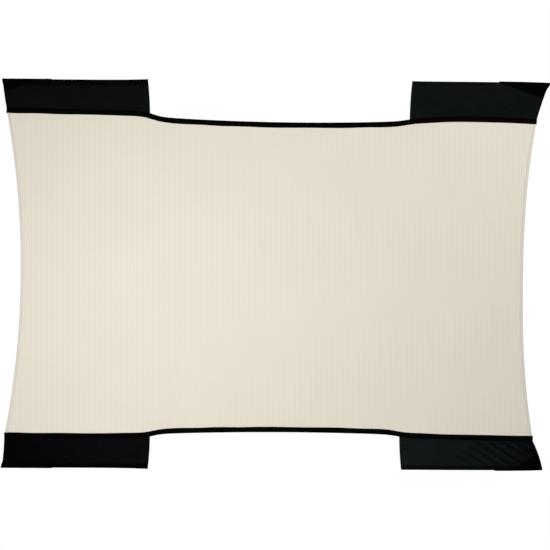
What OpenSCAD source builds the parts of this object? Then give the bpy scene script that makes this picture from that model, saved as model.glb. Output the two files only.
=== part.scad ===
// Panel reflector: a cloth screen with black corner bands, stretched by a folding cross of
// telescoping arms behind it, on a tilting receiver for a lighting stand.
// The screen stands upright: x runs to the right, y to the back and z up. The origin is the
// seat at the top of the stand receiver's bore.

/* [Screen] */
// Width over the outer corners
screen_w = 1250; // [1180:5:1320]
// Height over the corner patches
screen_h = 895; // [840:5:960]
// How far the middle of each short side is drawn in
side_sag = 32; // [10:1:45]
// How far the long edges are drawn in between the corner bands
edge_sag = 19; // [8:1:30]
// Length over which a long edge eases into its hollow
edge_run = 46; // [40:1:120]
// Thickness of the cloth
cloth_t = 1; // [0.6:0.1:2]
// Width of the black tape folded round each long edge
binding_w = 12.5; // [8:0.5:20]
// Thickness of one layer of that tape
binding_t = 0.8; // [0.5:0.1:1.2]
// Width of the turned hem on each short side
hem_w = 7; // [4:0.5:12]
// Thickness of one layer of hem
hem_t = 0.5; // [0.3:0.1:0.8]

/* [Corner bands] */
// Length of a band along the long edge
band_l = 332; // [240:2:400]
// Height of a band, from its outer edge to the cloth's cut edge
band_h = 68; // [55:1:85]
// Extra height of the band at the top right
deep_band_extra = 16; // [0:1:24]
// How much shorter that band is than the others
deep_band_short = 20; // [0:1:40]
// How far a band's outer end leans outwards over its height
band_flare = 18; // [5:1:28]
// How far a band's inner end leans along the seam
band_lean = 5; // [0:1:12]
// Length of the corner patch, and of the pocket behind it, along the long edge
patch_l = 113; // [90:1:140]
// Height of the corner patch on the short end
patch_h = 31; // [26:1:55]
// Thickness of the corner patch
patch_t = 0.8; // [0.5:0.1:1.5]
// How far the patch, wrapped over the band's edge, stands proud of it
patch_lip = 2; // [1:0.2:3]
// Wall of the boxed pocket that takes an arm's tip
pocket_wall = 1; // [0.8:0.1:2]

/* [Arms] */
// Diameter of the outer tube
tube_d = 20; // [18:0.5:24]
// Wall of the outer tube
tube_wall = 1.2; // [1:0.1:1.6]
// Wall of the sliding tube
extension_wall = 1.2; // [1:0.1:1.6]
// Angle of the folded arms above the horizontal
folded_angle = 72; // [66:0.5:74]
// Diameter of the domed tip
tip_d = 22; // [21:0.5:26]
// Length of the tip behind its dome's centre
tip_neck = 12; // [9:0.5:16]
// Length of the tip's stub inside the sliding tube
tip_stub = 24; // [15:1:35]
// Length of the guide plug's collar at the sliding tube's inner end
guide_l = 6; // [4:0.5:10]

/* [Lock collars] */
// Diameter of the twist collar
collar_d = 27; // [26.5:0.5:32]
// Length of the collar on the outer tube
collar_grip = 30; // [24:1:40]
// Length of the split collet that the collar squeezes
collet_l = 10; // [8:0.5:14]
// Width of the collet's slit
collet_slit = 1.5; // [1:0.1:2.5]
// Thickness of the collar's front lip
collar_lip = 2; // [1.5:0.1:3]
// Number of finger grooves round the collar
groove_count = 12; // [8:1:16]
// Diameter of a finger groove
groove_d = 4; // [3:0.2:5]

/* [Hub] */
// Diameter of the two turning discs
disc_d = 64; // [60:1:76]
// Thickness of a turning disc
disc_t = 8.2; // [7:0.2:10]
// Thickness of the friction disc between them
friction_t = 1.4; // [1:0.1:2.4]
// Wall of an arm socket
socket_wall = 3.5; // [3:0.1:4.5]
// Depth of an arm socket
socket_l = 39; // [32:1:48]
// Width of the web from a disc to its sockets
web_w = 22; // [16:1:24]
// Diameter of the pins that hold the tubes in their sockets
socket_pin_d = 4; // [3:0.5:5]
// Diameter of the spindle
spindle_d = 10; // [8:0.5:12]
// Diameter of the spindle's domed head
spindle_head_d = 30; // [24:1:40]
// Height of the spindle's domed head
spindle_head_t = 3.2; // [2.4:0.2:4]
// Distance of the stop pin from the spindle
stop_radius = 22; // [18:0.5:24]
// Diameter of the stop pin
stop_pin_d = 6; // [4:0.5:7]
// Thickness of the back plate
plate_t = 8; // [6:0.5:12]
// Diameter of the back plate round the spindle
plate_d = 60; // [48:1:72]
// Width of the window in the back plate's leg
window_w = 12; // [6:1:16]
// Height of that window between its round ends
window_h = 8; // [2:1:12]
// Diameter of the fold knob over its lobes
knob_d = 52; // [44:1:60]
// Thickness of the fold knob
knob_t = 20; // [16:0.5:24]
// Number of lobes on the fold knob
knob_lobes = 6; // [5:1:8]

/* [Tilt joint] */
// Distance of the tilt axis behind the back plate
ear_reach = 20; // [18:0.5:26]
// Distance of the tilt axis below the spindle
tilt_drop = 70; // [62:1:90]
// Radius of the ears round the tilt bolt
ear_r = 13; // [11:0.5:15]
// Thickness of an ear
ear_t = 8; // [6:0.5:10]
// Height of an ear's web on the back plate, above the tilt axis
ear_web = 36; // [26:1:38]
// Diameter of the tilt bolt
bolt_d = 8; // [6:0.5:10]
// Width of the tongue between the ears
tongue_w = 18; // [14:1:22]
// Thickness of the tilt washers
washer_t = 1; // [0.8:0.1:2]
// Length of the tilt lever
lever_l = 52; // [40:1:60]
// Thickness of the tilt lever
lever_t = 7.5; // [6:0.5:10]

/* [Stand receiver] */
// Diameter of the stand's stud
stud_d = 16; // [15.5:0.1:16.5]
// Depth of the bore
bore_depth = 46; // [38:1:56]
// Outside diameter of the receiver
receiver_d = 32; // [29:0.5:38]
// Solid height above the bore's seat
receiver_crown = 14; // [10:1:20]
// Number of turned grooves round the receiver, below its crown
ring_count = 3; // [0:1:4]
// Height of the neck from the crown to the tilt axis
neck_l = 30; // [28:1:36]
// Width of the neck, front to back
neck_w = 22; // [18:1:24]
// Height of the thumbscrew above the bore's mouth
screw_up = 20; // [16:1:24]
// Diameter of the thumbscrew
screw_d = 8; // [6:0.5:9]
// Diameter of the boss that takes the thumbscrew
boss_d = 18; // [16:1:22]
// Distance of the boss's end behind the bore's axis
boss_reach = 25; // [22:1:30]
// Span of the thumbscrew's wings
wing_span = 38; // [30:1:42]
// Length of the thumbscrew's grip
grip_l = 13; // [10:0.5:18]

/* [Hidden] */
$fn = 64;

// Clearances: a turning or sliding fit, a press fit, a seat, room past a stop, a sliding tube
run_gap = 0.1;
fit_gap = 0.05;
seat_gap = 0.3;
stop_gap = 3;
slide_gap = 0.3;
// A cut runs this far past the faces that it opens
past = 1;

// Corners as signs along x and up
TL = [-1, 1];
TR = [1, 1];
BL = [-1, -1];
BR = [1, -1];

// Depths in front of the plane of the arms
collar_r = collar_d / 2;
cloth_gap = 2.5;
cloth_back = collar_r + cloth_gap;
cloth_front = cloth_back + cloth_t;
band_back = cloth_back - binding_t;
band_front = cloth_front + binding_t;
patch_front = band_front + patch_t;
tip_r = tip_d / 2;
pocket_floor = -(tip_r + seat_gap);

// Outline of the screen, from its centre
outer_x = screen_w / 2;
outer_y = screen_h / 2 - patch_lip;
flare_angle = atan(band_flare / band_h);
function band_depth(c) = band_h + (c == TR ? deep_band_extra : 0);
function band_length(c) = band_l - (c == TR ? deep_band_short : 0);
function gap_end(c) = outer_x - band_length(c) - band_lean;
function seam_x(c) = outer_x - band_depth(c) * tan(flare_angle);
function cut_y(c) = outer_y - band_depth(c);
function corner_point(c, inwards, down) = [c[0] * (outer_x - inwards), c[1] * (outer_y - down)];

// A long edge runs straight along the bands and eases between them into its hollow
edge_steps = 12;
function edge_drop(in_gap, gap) =
    edge_sag * (1 - exp(-max(0, in_gap) / edge_run)) / (1 - exp(-gap / edge_run));
function edge_line(x, left, right) =
    let(from = -gap_end(left), to = gap_end(right), u = (min(to, max(from, x)) - from) / (to - from))
    cut_y(left) + (cut_y(right) - cut_y(left)) * u;
function edge_y(x, up) =
    let(left = [-1, up], right = [1, up], gap = gap_end(x < 0 ? left : right))
    up * (edge_line(x, left, right) - edge_drop(gap - abs(x), gap));
function long_edge(up) = concat(
    [[-seam_x([-1, up]), edge_y(-outer_x, up)]],
    [for (i = [-edge_steps : edge_steps])
        let(x = gap_end([i < 0 ? -1 : 1, up]) * sin(90 * i / edge_steps)) [x, edge_y(x, up)]],
    [[seam_x([1, up]), edge_y(outer_x, up)]]
);

// A short side bows in as a parabola between its two seams
side_steps = 16;
function side_edge(side) =
    let(top = [seam_x([side, 1]), cut_y([side, 1])],
        low = [seam_x([side, -1]), -cut_y([side, -1])])
    [for (i = [0 : side_steps])
        let(s = i / side_steps, bow = 4 * side_sag * s * (1 - s))
        [side * (top[0] + (low[0] - top[0]) * s - bow), top[1] + (low[1] - top[1]) * s]];
function reversed(points) = [for (i = [len(points) - 1 : -1 : 0]) points[i]];
function shifted(points, move) = [for (p = points) p + move];
function inner(points) = [for (i = [1 : len(points) - 2]) points[i]];

// Arms: the tip rests in the corner of its pocket and stays at one height as the arms fold
tip_inset = pocket_wall + seat_gap + tip_r;
tip_up = outer_y - tip_inset;
tip_out = outer_x - tip_inset * (1 + sin(flare_angle)) / cos(flare_angle);
reach = norm([tip_out, tip_up]);
parked_reach = tip_up / sin(folded_angle);
retract = reach - parked_reach;
open_angle = atan2(tip_up, tip_out);
fold_travel = folded_angle - open_angle;
function arm_angle(c) = atan2(c[1] * tip_up, c[0] * tip_out);

tube_r = tube_d / 2;
tube_bore = tube_r - tube_wall;
extension_r = tube_bore - slide_gap;
extension_bore = extension_r - extension_wall;
extension_end = reach - tip_neck;
collar_end = parked_reach - tip_neck - stop_gap;
tube_end = collar_end - collar_lip - collet_l - seat_gap;
collar_start = tube_end - collar_grip;

// Hub: at the folded angle the sockets of neighbouring arms just clear each other
half_gap = 90 - folded_angle;
socket_r = tube_r + socket_wall;
fold_gap = 1.2;
socket_start = (socket_r * cos(half_gap) + fold_gap / 2) / sin(half_gap);
socket_floor = socket_start + socket_wall;
socket_end = socket_floor + socket_l;
socket_pin_at = socket_floor + socket_l / 4;
guide_start = socket_pin_at + socket_pin_d / 2 + stop_gap + retract;
extension_start = guide_start + guide_l;
guide_stub = 14;

disc_in = friction_t / 2 + run_gap;
disc_out = disc_in + disc_t;
plate_gap = 0.7;
plate_front = socket_r + plate_gap;
plate_back = plate_front + plate_t;
spindle_r = spindle_d / 2;
friction_rim = 2;
friction_r = stop_radius - stop_pin_d / 2 - friction_rim;
insert_wall = 4;
insert_r = spindle_r + insert_wall;
knob_cap = 4;
insert_t = knob_t - knob_cap;
knob_gap = 0.4;
knob_front = plate_back + knob_gap;

// Tilt axis, behind and below the spindle, and above the seat of the stand's stud
tilt_back = plate_back + ear_reach;
tilt_up = receiver_crown + neck_l;
bolt_r = bolt_d / 2;
ear_in = tongue_w / 2 + washer_t + 2 * run_gap;
ear_out = ear_in + ear_t;
bolt_head_t = 6;
bolt_head_r = bolt_d * 0.9;
cap_wall = 2;
lever_boss_t = 13;
lever_in = ear_out + seat_gap;
bolt_end = lever_in + lever_boss_t - cap_wall;
bore_r = stud_d / 2 + run_gap;
screw_r = screw_d / 2;
screw_z = screw_up - bore_depth;
stud_room = 0.5;
screw_tip = bore_r + stud_room;
screw_travel = 5;
grip_front = boss_reach + screw_travel;

cloth_colour = [0.9, 0.87, 0.81];
hem_colour = [0.85, 0.84, 0.81];
nylon_colour = [0.06, 0.07, 0.07];
metal_colour = [0.72, 0.73, 0.75];
steel_colour = [0.6, 0.61, 0.63];
plastic_colour = [0.12, 0.12, 0.13];
bush_colour = [0.85, 0.85, 0.8];
brass_colour = [0.78, 0.65, 0.35];

// Places a drawing of the screen, x to the right, y up and z to the front, at the spindle
module at_hub() {
    translate([0, -tilt_back, tilt_up + tilt_drop])
        rotate([90, 0, 0])
            children();
}

// Lays out a piece drawn along x on one of the arms
module on_arm(c) {
    at_hub()
        rotate([0, 0, arm_angle(c)])
            children();
}

// A solid rod along x
module rod(r, from, to) {
    translate([from, 0, 0])
        rotate([0, 90, 0])
            cylinder(r = r, h = to - from);
}

// A tube along x
module pipe(r, bore, from, to) {
    difference() {
        rod(r, from, to);
        rod(bore, from - past, to + past);
    }
}

// A disc or sleeve on the spindle, between two depths behind the plane of the arms
module on_spindle(r, bore, from, to) {
    translate([0, 0, -to])
        difference() {
            cylinder(r = r, h = to - from);
            translate([0, 0, -past])
                cylinder(r = bore, h = to - from + 2 * past);
        }
}

// An extruded outline of the screen between two depths
module layer(points, back, front) {
    translate([0, 0, back])
        linear_extrude(front - back)
            polygon(points);
}

// Stand receiver: a turned barrel with a blind bore, a screw boss and a tongue for the tilt
module receiver_barrel() {
    barrel_r = receiver_d / 2;
    bevel = 2;
    ring_pitch = 4;
    ring_cut = 1;
    rings = [for (i = [ring_count - 1 : -1 : 0], step = [-1, 0, 1])
        [barrel_r - (1 - abs(step)) * ring_cut, step * ring_cut - i * ring_pitch]];
    rotate_extrude()
        polygon(concat(
            [[0, -bore_depth], [barrel_r - bevel, -bore_depth], [barrel_r, bevel - bore_depth]],
            rings,
            [[barrel_r, receiver_crown - 2 * bevel], [neck_w / 2, receiver_crown],
             [0, receiver_crown]]
        ));
}

module stand_receiver() {
    color(plastic_colour)
        difference() {
            union() {
                receiver_barrel();
                translate([0, 0, screw_z])
                    rotate([-90, 0, 0])
                        cylinder(d = boss_d, h = boss_reach);
                translate([-tongue_w / 2, 0, 0])
                    rotate([90, 0, 90])
                        linear_extrude(tongue_w)
                            union() {
                                translate([0, tilt_up])
                                    circle(ear_r);
                                translate([-neck_w / 2, receiver_crown / 2])
                                    square([neck_w, tilt_up - receiver_crown / 2]);
                            }
            }
            translate([0, 0, -bore_depth - past])
                cylinder(r = bore_r, h = bore_depth + past);
            translate([0, 0, screw_z])
                rotate([-90, 0, 0])
                    cylinder(r = screw_r + fit_gap, h = boss_reach + past);
            translate([0, 0, tilt_up])
                rod(bolt_r + fit_gap, -tongue_w, tongue_w);
        }
}

// Thumbscrew: a steel screw in the boss, with a winged grip moulded on its end
module stand_thumbscrew() {
    color(steel_colour)
        translate([0, screw_tip, screw_z])
            rotate([-90, 0, 0])
                cylinder(r = screw_r, h = grip_front + grip_l - screw_tip - cap_wall);
}

module thumbscrew_grip() {
    wing_r = 5.5;
    wing_at = wing_span / 2 - wing_r;
    wing_web = wing_r * 1.4;
    hub_wall = 5;
    color(plastic_colour)
        translate([0, grip_front, screw_z])
            rotate([-90, 0, 0])
                difference() {
                    linear_extrude(grip_l)
                        union() {
                            circle(screw_r + hub_wall);
                            for (side = [-1, 1])
                                translate([side * wing_at, 0])
                                    circle(wing_r);
                            square([2 * wing_at, wing_web], center = true);
                        }
                    translate([0, 0, -past])
                        cylinder(r = screw_r + fit_gap, h = grip_l - cap_wall + past + fit_gap);
                }
}

// Back plate of the hub: a round plate whose flanks run straight to a leg with two ears for the
// tilt bolt, with a window in the leg and an arch between its feet
module plate_outline() {
    plate_r = plate_d / 2;
    foot = tilt_drop + ear_r;
    knee = [ear_out, ear_r - tilt_drop];
    flank = atan2(knee[1], knee[0]) + acos(plate_r / norm(knee));
    shoulder = (plate_r - past) * [cos(flank), sin(flank)];
    right = [shoulder, knee, [ear_out, -foot]];
    left = [for (p = reversed(right)) [-p[0], p[1]]];
    arch_edge = 1.2;
    arch_r = ear_out - ear_t - arch_edge;
    difference() {
        union() {
            circle(plate_r);
            polygon(concat(right, left));
        }
        translate([0, -foot])
            circle(arch_r);
        plate_window();
    }
}

module plate_window() {
    middle = -plate_d / 2 - window_w / 2 - window_h / 2;
    for (end = [-1, 1])
        translate([0, middle + end * window_h / 2])
            circle(d = window_w);
    translate([-window_w / 2, middle - window_h / 2])
        square([window_w, window_h]);
}

module ear(from) {
    translate([from, -tilt_drop, 0])
        rotate([0, 90, 0])
            linear_extrude(ear_t)
                union() {
                    translate([tilt_back, 0])
                        circle(ear_r);
                    polygon([
                        [plate_front + plate_t / 2, -ear_r], [tilt_back, -ear_r],
                        [tilt_back, ear_r], [plate_front + plate_t / 2, ear_web]
                    ]);
                }
}

module hub_back_plate() {
    color(plastic_colour)
        at_hub()
            difference() {
                union() {
                    translate([0, 0, -plate_back])
                        linear_extrude(plate_t)
                            plate_outline();
                    ear(ear_in);
                    ear(-ear_out);
                }
                translate([0, 0, -plate_back - past])
                    cylinder(r = spindle_r + fit_gap, h = plate_t + 2 * past);
                translate([0, -tilt_drop, -tilt_back])
                    rod(bolt_r + fit_gap, -ear_out - past, ear_out + past);
            }
}

// Spindle: a domed head in front of the discs and a shaft through to the fold knob
module hub_spindle() {
    head_r = spindle_head_d / 2;
    head_back = disc_out + run_gap;
    shaft_end = knob_front + insert_t - past;
    color(steel_colour)
        at_hub()
            rotate_extrude()
                polygon([
                    [0, -shaft_end], [spindle_r - 1, -shaft_end], [spindle_r, 1 - shaft_end],
                    [spindle_r, head_back], [head_r, head_back],
                    [head_r, head_back + spindle_head_t / 3],
                    [head_r * 0.75, head_back + spindle_head_t * 0.8],
                    [head_r * 0.4, head_back + spindle_head_t], [0, head_back + spindle_head_t]
                ]);
}

// Friction disc between the turning discs, and the spacer that sets the back plate off them
module hub_washers() {
    color(bush_colour)
        at_hub() {
            on_spindle(friction_r, spindle_r + fit_gap, -friction_t / 2, friction_t / 2);
            on_spindle(disc_d / 3, spindle_r + fit_gap, disc_out + run_gap, plate_front - fit_gap);
        }
}

// Tilt bolt with a six-sided head
module tilt_bolt() {
    color(steel_colour)
        at_hub()
            translate([0, -tilt_drop, -tilt_back]) {
                rod(bolt_r, -ear_out - fit_gap, bolt_end);
                translate([-ear_out - fit_gap - bolt_head_t, 0, 0])
                    rotate([0, 90, 0])
                        cylinder(r = bolt_head_r, h = bolt_head_t, $fn = 6);
            }
}

module tilt_washers() {
    color(bush_colour)
        at_hub()
            translate([0, -tilt_drop, -tilt_back])
                for (from = [tongue_w / 2 + run_gap, -tongue_w / 2 - run_gap - washer_t])
                    pipe(ear_r - 1, bolt_r + fit_gap, from, from + washer_t);
}

// Tilt lever: a boss on the bolt's end and a tapered arm that hangs down
module tilt_lever() {
    boss_r = bolt_r + 6;
    root_r = boss_r * 0.9;
    end_r = 5.5;
    lean = 20;
    set_back = 1;
    arm_from = lever_in + lever_boss_t - lever_t - set_back;
    color(plastic_colour)
        at_hub()
            translate([0, -tilt_drop, -tilt_back])
                difference() {
                    union() {
                        rod(boss_r, lever_in, lever_in + lever_boss_t);
                        translate([arm_from, 0, 0])
                            rotate([lean, 0, 0])
                                rotate([0, 90, 0])
                                    linear_extrude(lever_t)
                                        union() {
                                            translate([0, -lever_l])
                                                circle(end_r);
                                            polygon([
                                                [-root_r, 0], [root_r, 0],
                                                [end_r, -lever_l], [-end_r, -lever_l]
                                            ]);
                                        }
                    }
                    rod(bolt_r + fit_gap, lever_in - past, bolt_end + fit_gap);
                }
}

// Fold knob: a lobed hand knob round a threaded insert
module fold_knob() {
    lobe_r = knob_d * 0.15;
    bevel = 2.5;
    dish = 1.2;
    knob_r = knob_d / 2;
    dish_r = knob_r - 2 * lobe_r;
    color(plastic_colour)
        at_hub()
            translate([0, 0, -knob_front - knob_t])
                difference() {
                    intersection() {
                        linear_extrude(knob_t)
                            union() {
                                circle(knob_r - lobe_r);
                                for (i = [0 : knob_lobes - 1])
                                    rotate(360 * i / knob_lobes)
                                        translate([knob_r - lobe_r, 0])
                                            circle(lobe_r);
                            }
                        rotate_extrude()
                            polygon([
                                [0, dish], [dish_r - dish, dish], [dish_r, 0],
                                [knob_r - 2 * bevel, 0], [knob_r, bevel],
                                [knob_r, knob_t - bevel / 2], [knob_r - bevel / 2, knob_t],
                                [0, knob_t]
                            ]);
                    }
                    translate([0, 0, knob_t - insert_t - fit_gap])
                        cylinder(r = insert_r + fit_gap, h = insert_t + past);
                }
}

module knob_insert() {
    color(brass_colour)
        at_hub()
            on_spindle(insert_r, spindle_r + fit_gap, knob_front, knob_front + insert_t);
}

// Turning disc with two opposite arm sockets; facing is 1 for the front disc, -1 for the rear
module arm_disc(corners, facing) {
    web_from = facing > 0 ? disc_in : -disc_out;
    difference() {
        union() {
            translate([0, 0, web_from])
                cylinder(d = disc_d, h = disc_t);
            for (c = corners)
                rotate([0, 0, arm_angle(c)]) {
                    translate([0, -web_w / 2, web_from])
                        cube([socket_floor, web_w, disc_t]);
                    rod(socket_r, socket_start, socket_end);
                }
        }
        translate([0, 0, web_from - past])
            cylinder(r = spindle_r + fit_gap, h = disc_t + 2 * past);
        for (c = corners)
            rotate([0, 0, arm_angle(c)]) {
                rod(tube_r + fit_gap, socket_floor, socket_end + past);
                translate([socket_pin_at, 0, -socket_r - past])
                    cylinder(d = socket_pin_d + 2 * fit_gap, h = 2 * (socket_r + past));
            }
    }
}

// The stop pin stands in the front disc and runs in an arc slot of the rear disc
stop_angle = 90 + fold_travel;
stop_depth = disc_t * 0.7;

module hub_front_disc() {
    color(plastic_colour)
        at_hub()
            difference() {
                arm_disc([TL, BR], 1);
                rotate([0, 0, stop_angle])
                    translate([stop_radius, 0, disc_in - past])
                        cylinder(d = stop_pin_d + 2 * fit_gap, h = stop_depth + past);
            }
}

module hub_rear_disc() {
    slot_r = stop_pin_d / 2 + seat_gap;
    color(plastic_colour)
        at_hub()
            difference() {
                arm_disc([TR, BL], -1);
                translate([0, 0, -disc_in - stop_depth]) {
                    rotate([0, 0, stop_angle - 2 * fold_travel])
                        rotate_extrude(angle = 2 * fold_travel)
                            translate([stop_radius - slot_r, 0])
                                square([2 * slot_r, stop_depth + past]);
                    for (a = [stop_angle - 2 * fold_travel, stop_angle])
                        rotate([0, 0, a])
                            translate([stop_radius, 0, 0])
                                cylinder(r = slot_r, h = stop_depth + past);
                }
            }
}

module stop_pin() {
    color(steel_colour)
        at_hub()
            rotate([0, 0, stop_angle])
                translate([stop_radius, 0, seat_gap - disc_in - stop_depth])
                    cylinder(d = stop_pin_d, h = 2 * (disc_in + stop_depth) - 2 * seat_gap);
}

// Pins through each socket and its tube
module socket_pins(corners) {
    color(steel_colour)
        for (c = corners)
            on_arm(c)
                translate([socket_pin_at, 0, -socket_r])
                    cylinder(d = socket_pin_d, h = 2 * socket_r);
}

// Outer tube of an arm, from its socket to its lock collar
module arm_tube(c) {
    color(metal_colour)
        on_arm(c)
            difference() {
                pipe(tube_r, tube_bore, socket_floor, tube_end);
                translate([socket_pin_at, 0, -tube_d])
                    cylinder(d = socket_pin_d + 2 * fit_gap, h = 2 * tube_d);
            }
}

// Split collet on the sliding tube, against the outer tube's mouth
module collet(c) {
    color(bush_colour)
        on_arm(c)
            difference() {
                pipe(tube_r - run_gap, extension_r + fit_gap, tube_end, tube_end + collet_l);
                translate([tube_end - past, -collet_slit / 2, 0])
                    cube([collet_l + 2 * past, collet_slit, tube_d]);
            }
}

// Twist collar over the tube's mouth and the collet, with finger grooves
module lock_collar(c) {
    bevel = 1.5;
    back_r = collar_r - 1;
    color(plastic_colour)
        on_arm(c)
            difference() {
                rotate([0, 90, 0])
                    rotate_extrude()
                        polygon([
                            [0, collar_start], [back_r - bevel, collar_start],
                            [back_r, collar_start + bevel], [collar_r, collar_start + 3 * bevel],
                            [collar_r, tube_end], [collar_r - bevel, collar_end],
                            [0, collar_end]
                        ]);
                rod(tube_r + run_gap, collar_start - past, collar_end - collar_lip);
                rod(extension_r + slide_gap, collar_start, collar_end + past);
                for (i = [0 : groove_count - 1])
                    rotate([360 * i / groove_count, 0, 0])
                        translate([0, collar_r + groove_d / 4, 0])
                            rod(groove_d / 2, collar_start + 3 * bevel, tube_end - bevel);
            }
}

// Sliding tube, its guide plug and its domed tip
module arm_extension(c) {
    color(metal_colour)
        on_arm(c)
            pipe(extension_r, extension_bore, extension_start, extension_end);
}

module guide_plug(c) {
    color(bush_colour)
        on_arm(c)
            difference() {
                union() {
                    rod(tube_bore - fit_gap, guide_start, extension_start - fit_gap);
                    rod(extension_bore - fit_gap, guide_start, extension_start + guide_stub);
                }
                rod(extension_bore / 2, guide_start - past, extension_start + guide_stub + past);
            }
}

module arm_tip(c) {
    shoulder = 5;
    arc_steps = 10;
    dome = [for (i = [0 : arc_steps])
        let(a = 90 * i / arc_steps) [tip_r * cos(a), reach + tip_r * sin(a)]];
    stub_r = extension_bore - fit_gap;
    color(plastic_colour)
        on_arm(c)
            rotate([0, 90, 0])
                rotate_extrude()
                    polygon(concat(
                        [[0, extension_end - tip_stub], [stub_r, extension_end - tip_stub],
                         [stub_r, extension_end + fit_gap], [tip_r - 1, extension_end + fit_gap],
                         [tip_r, extension_end + shoulder]],
                        dome
                    ));
}

// Screen: the stretched cloth, cream in front and silver behind
cloth_outline = concat(long_edge(1), inner(side_edge(1)), reversed(long_edge(-1)),
    reversed(inner(side_edge(-1))));

module screen_cloth() {
    color(cloth_colour)
        at_hub()
            layer(cloth_outline, cloth_back, cloth_front);
}

// Tape folded round a long edge: a strip on both faces, closed over the cut edge
module binding(up) {
    edge = long_edge(up);
    strip = concat(shifted(edge, [0, up * binding_t]),
        reversed(shifted(edge, [0, -up * binding_w])));
    color(nylon_colour)
        at_hub()
            difference() {
                layer(strip, band_back, band_front);
                layer(cloth_outline, cloth_back, cloth_front);
            }
}

// Hem turned round a short side, ending at the bindings
module hem(side) {
    edge = side_edge(side);
    strip = concat(shifted(edge, [side * hem_t, 0]),
        reversed(shifted(edge, [-side * hem_w, 0])));
    top = cut_y([side, 1]) - binding_w;
    low = binding_w - cut_y([side, -1]);
    color(hem_colour)
        at_hub()
            difference() {
                intersection() {
                    layer(strip, cloth_back - hem_t, cloth_front + hem_t);
                    translate([-screen_w, low, 0])
                        cube([2 * screen_w, top - low, 2 * cloth_front]);
                }
                layer(cloth_outline, cloth_back, cloth_front);
            }
}

// Band of doubled nylon outside the binding at a corner
module corner_band(c) {
    depth = band_depth(c) - binding_t;
    color(nylon_colour)
        at_hub()
            layer([
                corner_point(c, 0, 0), corner_point(c, band_length(c), 0),
                corner_point(c, band_length(c) + band_lean, depth),
                corner_point(c, depth * tan(flare_angle), depth)
            ], band_back, band_front);
}

// Three-cornered patch on the front of a band, wrapped over the band's outer edge
module corner_patch(c) {
    color(nylon_colour)
        at_hub() {
            layer([
                corner_point(c, 0, 0), corner_point(c, patch_l, 0),
                corner_point(c, patch_h * tan(flare_angle), patch_h)
            ], band_front, patch_front);
            layer([
                corner_point(c, 0, 0), corner_point(c, patch_l, 0),
                corner_point(c, patch_l, -patch_lip), corner_point(c, 0, -patch_lip)
            ], band_back, patch_front);
        }
}

// Boxed pocket behind a band, closed along the outer edges and open towards the hub
module tip_pocket(c) {
    depth = band_h;
    wide = 2 * patch_l;
    slant = tan(flare_angle);
    end_wall = pocket_wall / cos(flare_angle) + pocket_wall * slant;
    color(nylon_colour)
        at_hub()
            difference() {
                layer([
                    corner_point(c, 0, 0), corner_point(c, patch_l, 0),
                    corner_point(c, depth * slant, depth)
                ], pocket_floor - pocket_wall, band_back);
                layer([
                    corner_point(c, end_wall, pocket_wall), corner_point(c, wide, pocket_wall),
                    corner_point(c, end_wall + wide * slant, pocket_wall + wide)
                ], pocket_floor, band_back + past);
            }
}

stand_receiver();
stand_thumbscrew();
thumbscrew_grip();
hub_back_plate();
hub_spindle();
hub_washers();
tilt_bolt();
tilt_washers();
tilt_lever();
fold_knob();
knob_insert();
hub_front_disc();
hub_rear_disc();
stop_pin();
socket_pins([TL, BR]);  // socket_pins_front
socket_pins([TR, BL]);  // socket_pins_rear
arm_tube(TL);  // arm_tube_tl
arm_tube(TR);  // arm_tube_tr
arm_tube(BL);  // arm_tube_bl
arm_tube(BR);  // arm_tube_br
collet(TL);  // collet_tl
collet(TR);  // collet_tr
collet(BL);  // collet_bl
collet(BR);  // collet_br
lock_collar(TL);  // lock_collar_tl
lock_collar(TR);  // lock_collar_tr
lock_collar(BL);  // lock_collar_bl
lock_collar(BR);  // lock_collar_br
arm_extension(TL);  // arm_extension_tl
arm_extension(TR);  // arm_extension_tr
arm_extension(BL);  // arm_extension_bl
arm_extension(BR);  // arm_extension_br
guide_plug(TL);  // guide_plug_tl
guide_plug(TR);  // guide_plug_tr
guide_plug(BL);  // guide_plug_bl
guide_plug(BR);  // guide_plug_br
arm_tip(TL);  // arm_tip_tl
arm_tip(TR);  // arm_tip_tr
arm_tip(BL);  // arm_tip_bl
arm_tip(BR);  // arm_tip_br
screen_cloth();
binding(1);  // top_binding
binding(-1);  // bottom_binding
hem(-1);  // left_hem
hem(1);  // right_hem
corner_band(TL);  // corner_band_tl
corner_band(TR);  // corner_band_tr
corner_band(BL);  // corner_band_bl
corner_band(BR);  // corner_band_br
corner_patch(TL);  // corner_patch_tl
corner_patch(TR);  // corner_patch_tr
corner_patch(BL);  // corner_patch_bl
corner_patch(BR);  // corner_patch_br
tip_pocket(TL);  // tip_pocket_tl
tip_pocket(TR);  // tip_pocket_tr
tip_pocket(BL);  // tip_pocket_bl
tip_pocket(BR);  // tip_pocket_br
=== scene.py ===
# %% [markdown]
# A panel reflector for a photographer's studio
#
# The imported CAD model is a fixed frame: its hub, arms and stand receiver keep their meshes and only
# get finishes here. The cloth goods, which CAD holds as plain slabs, are made anew as sewn fabric:
# a ribbed screen, taped edges, doubled corner bands, patches and pockets.

import bpy
import numpy as np
from mathutils import Matrix, Vector


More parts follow.
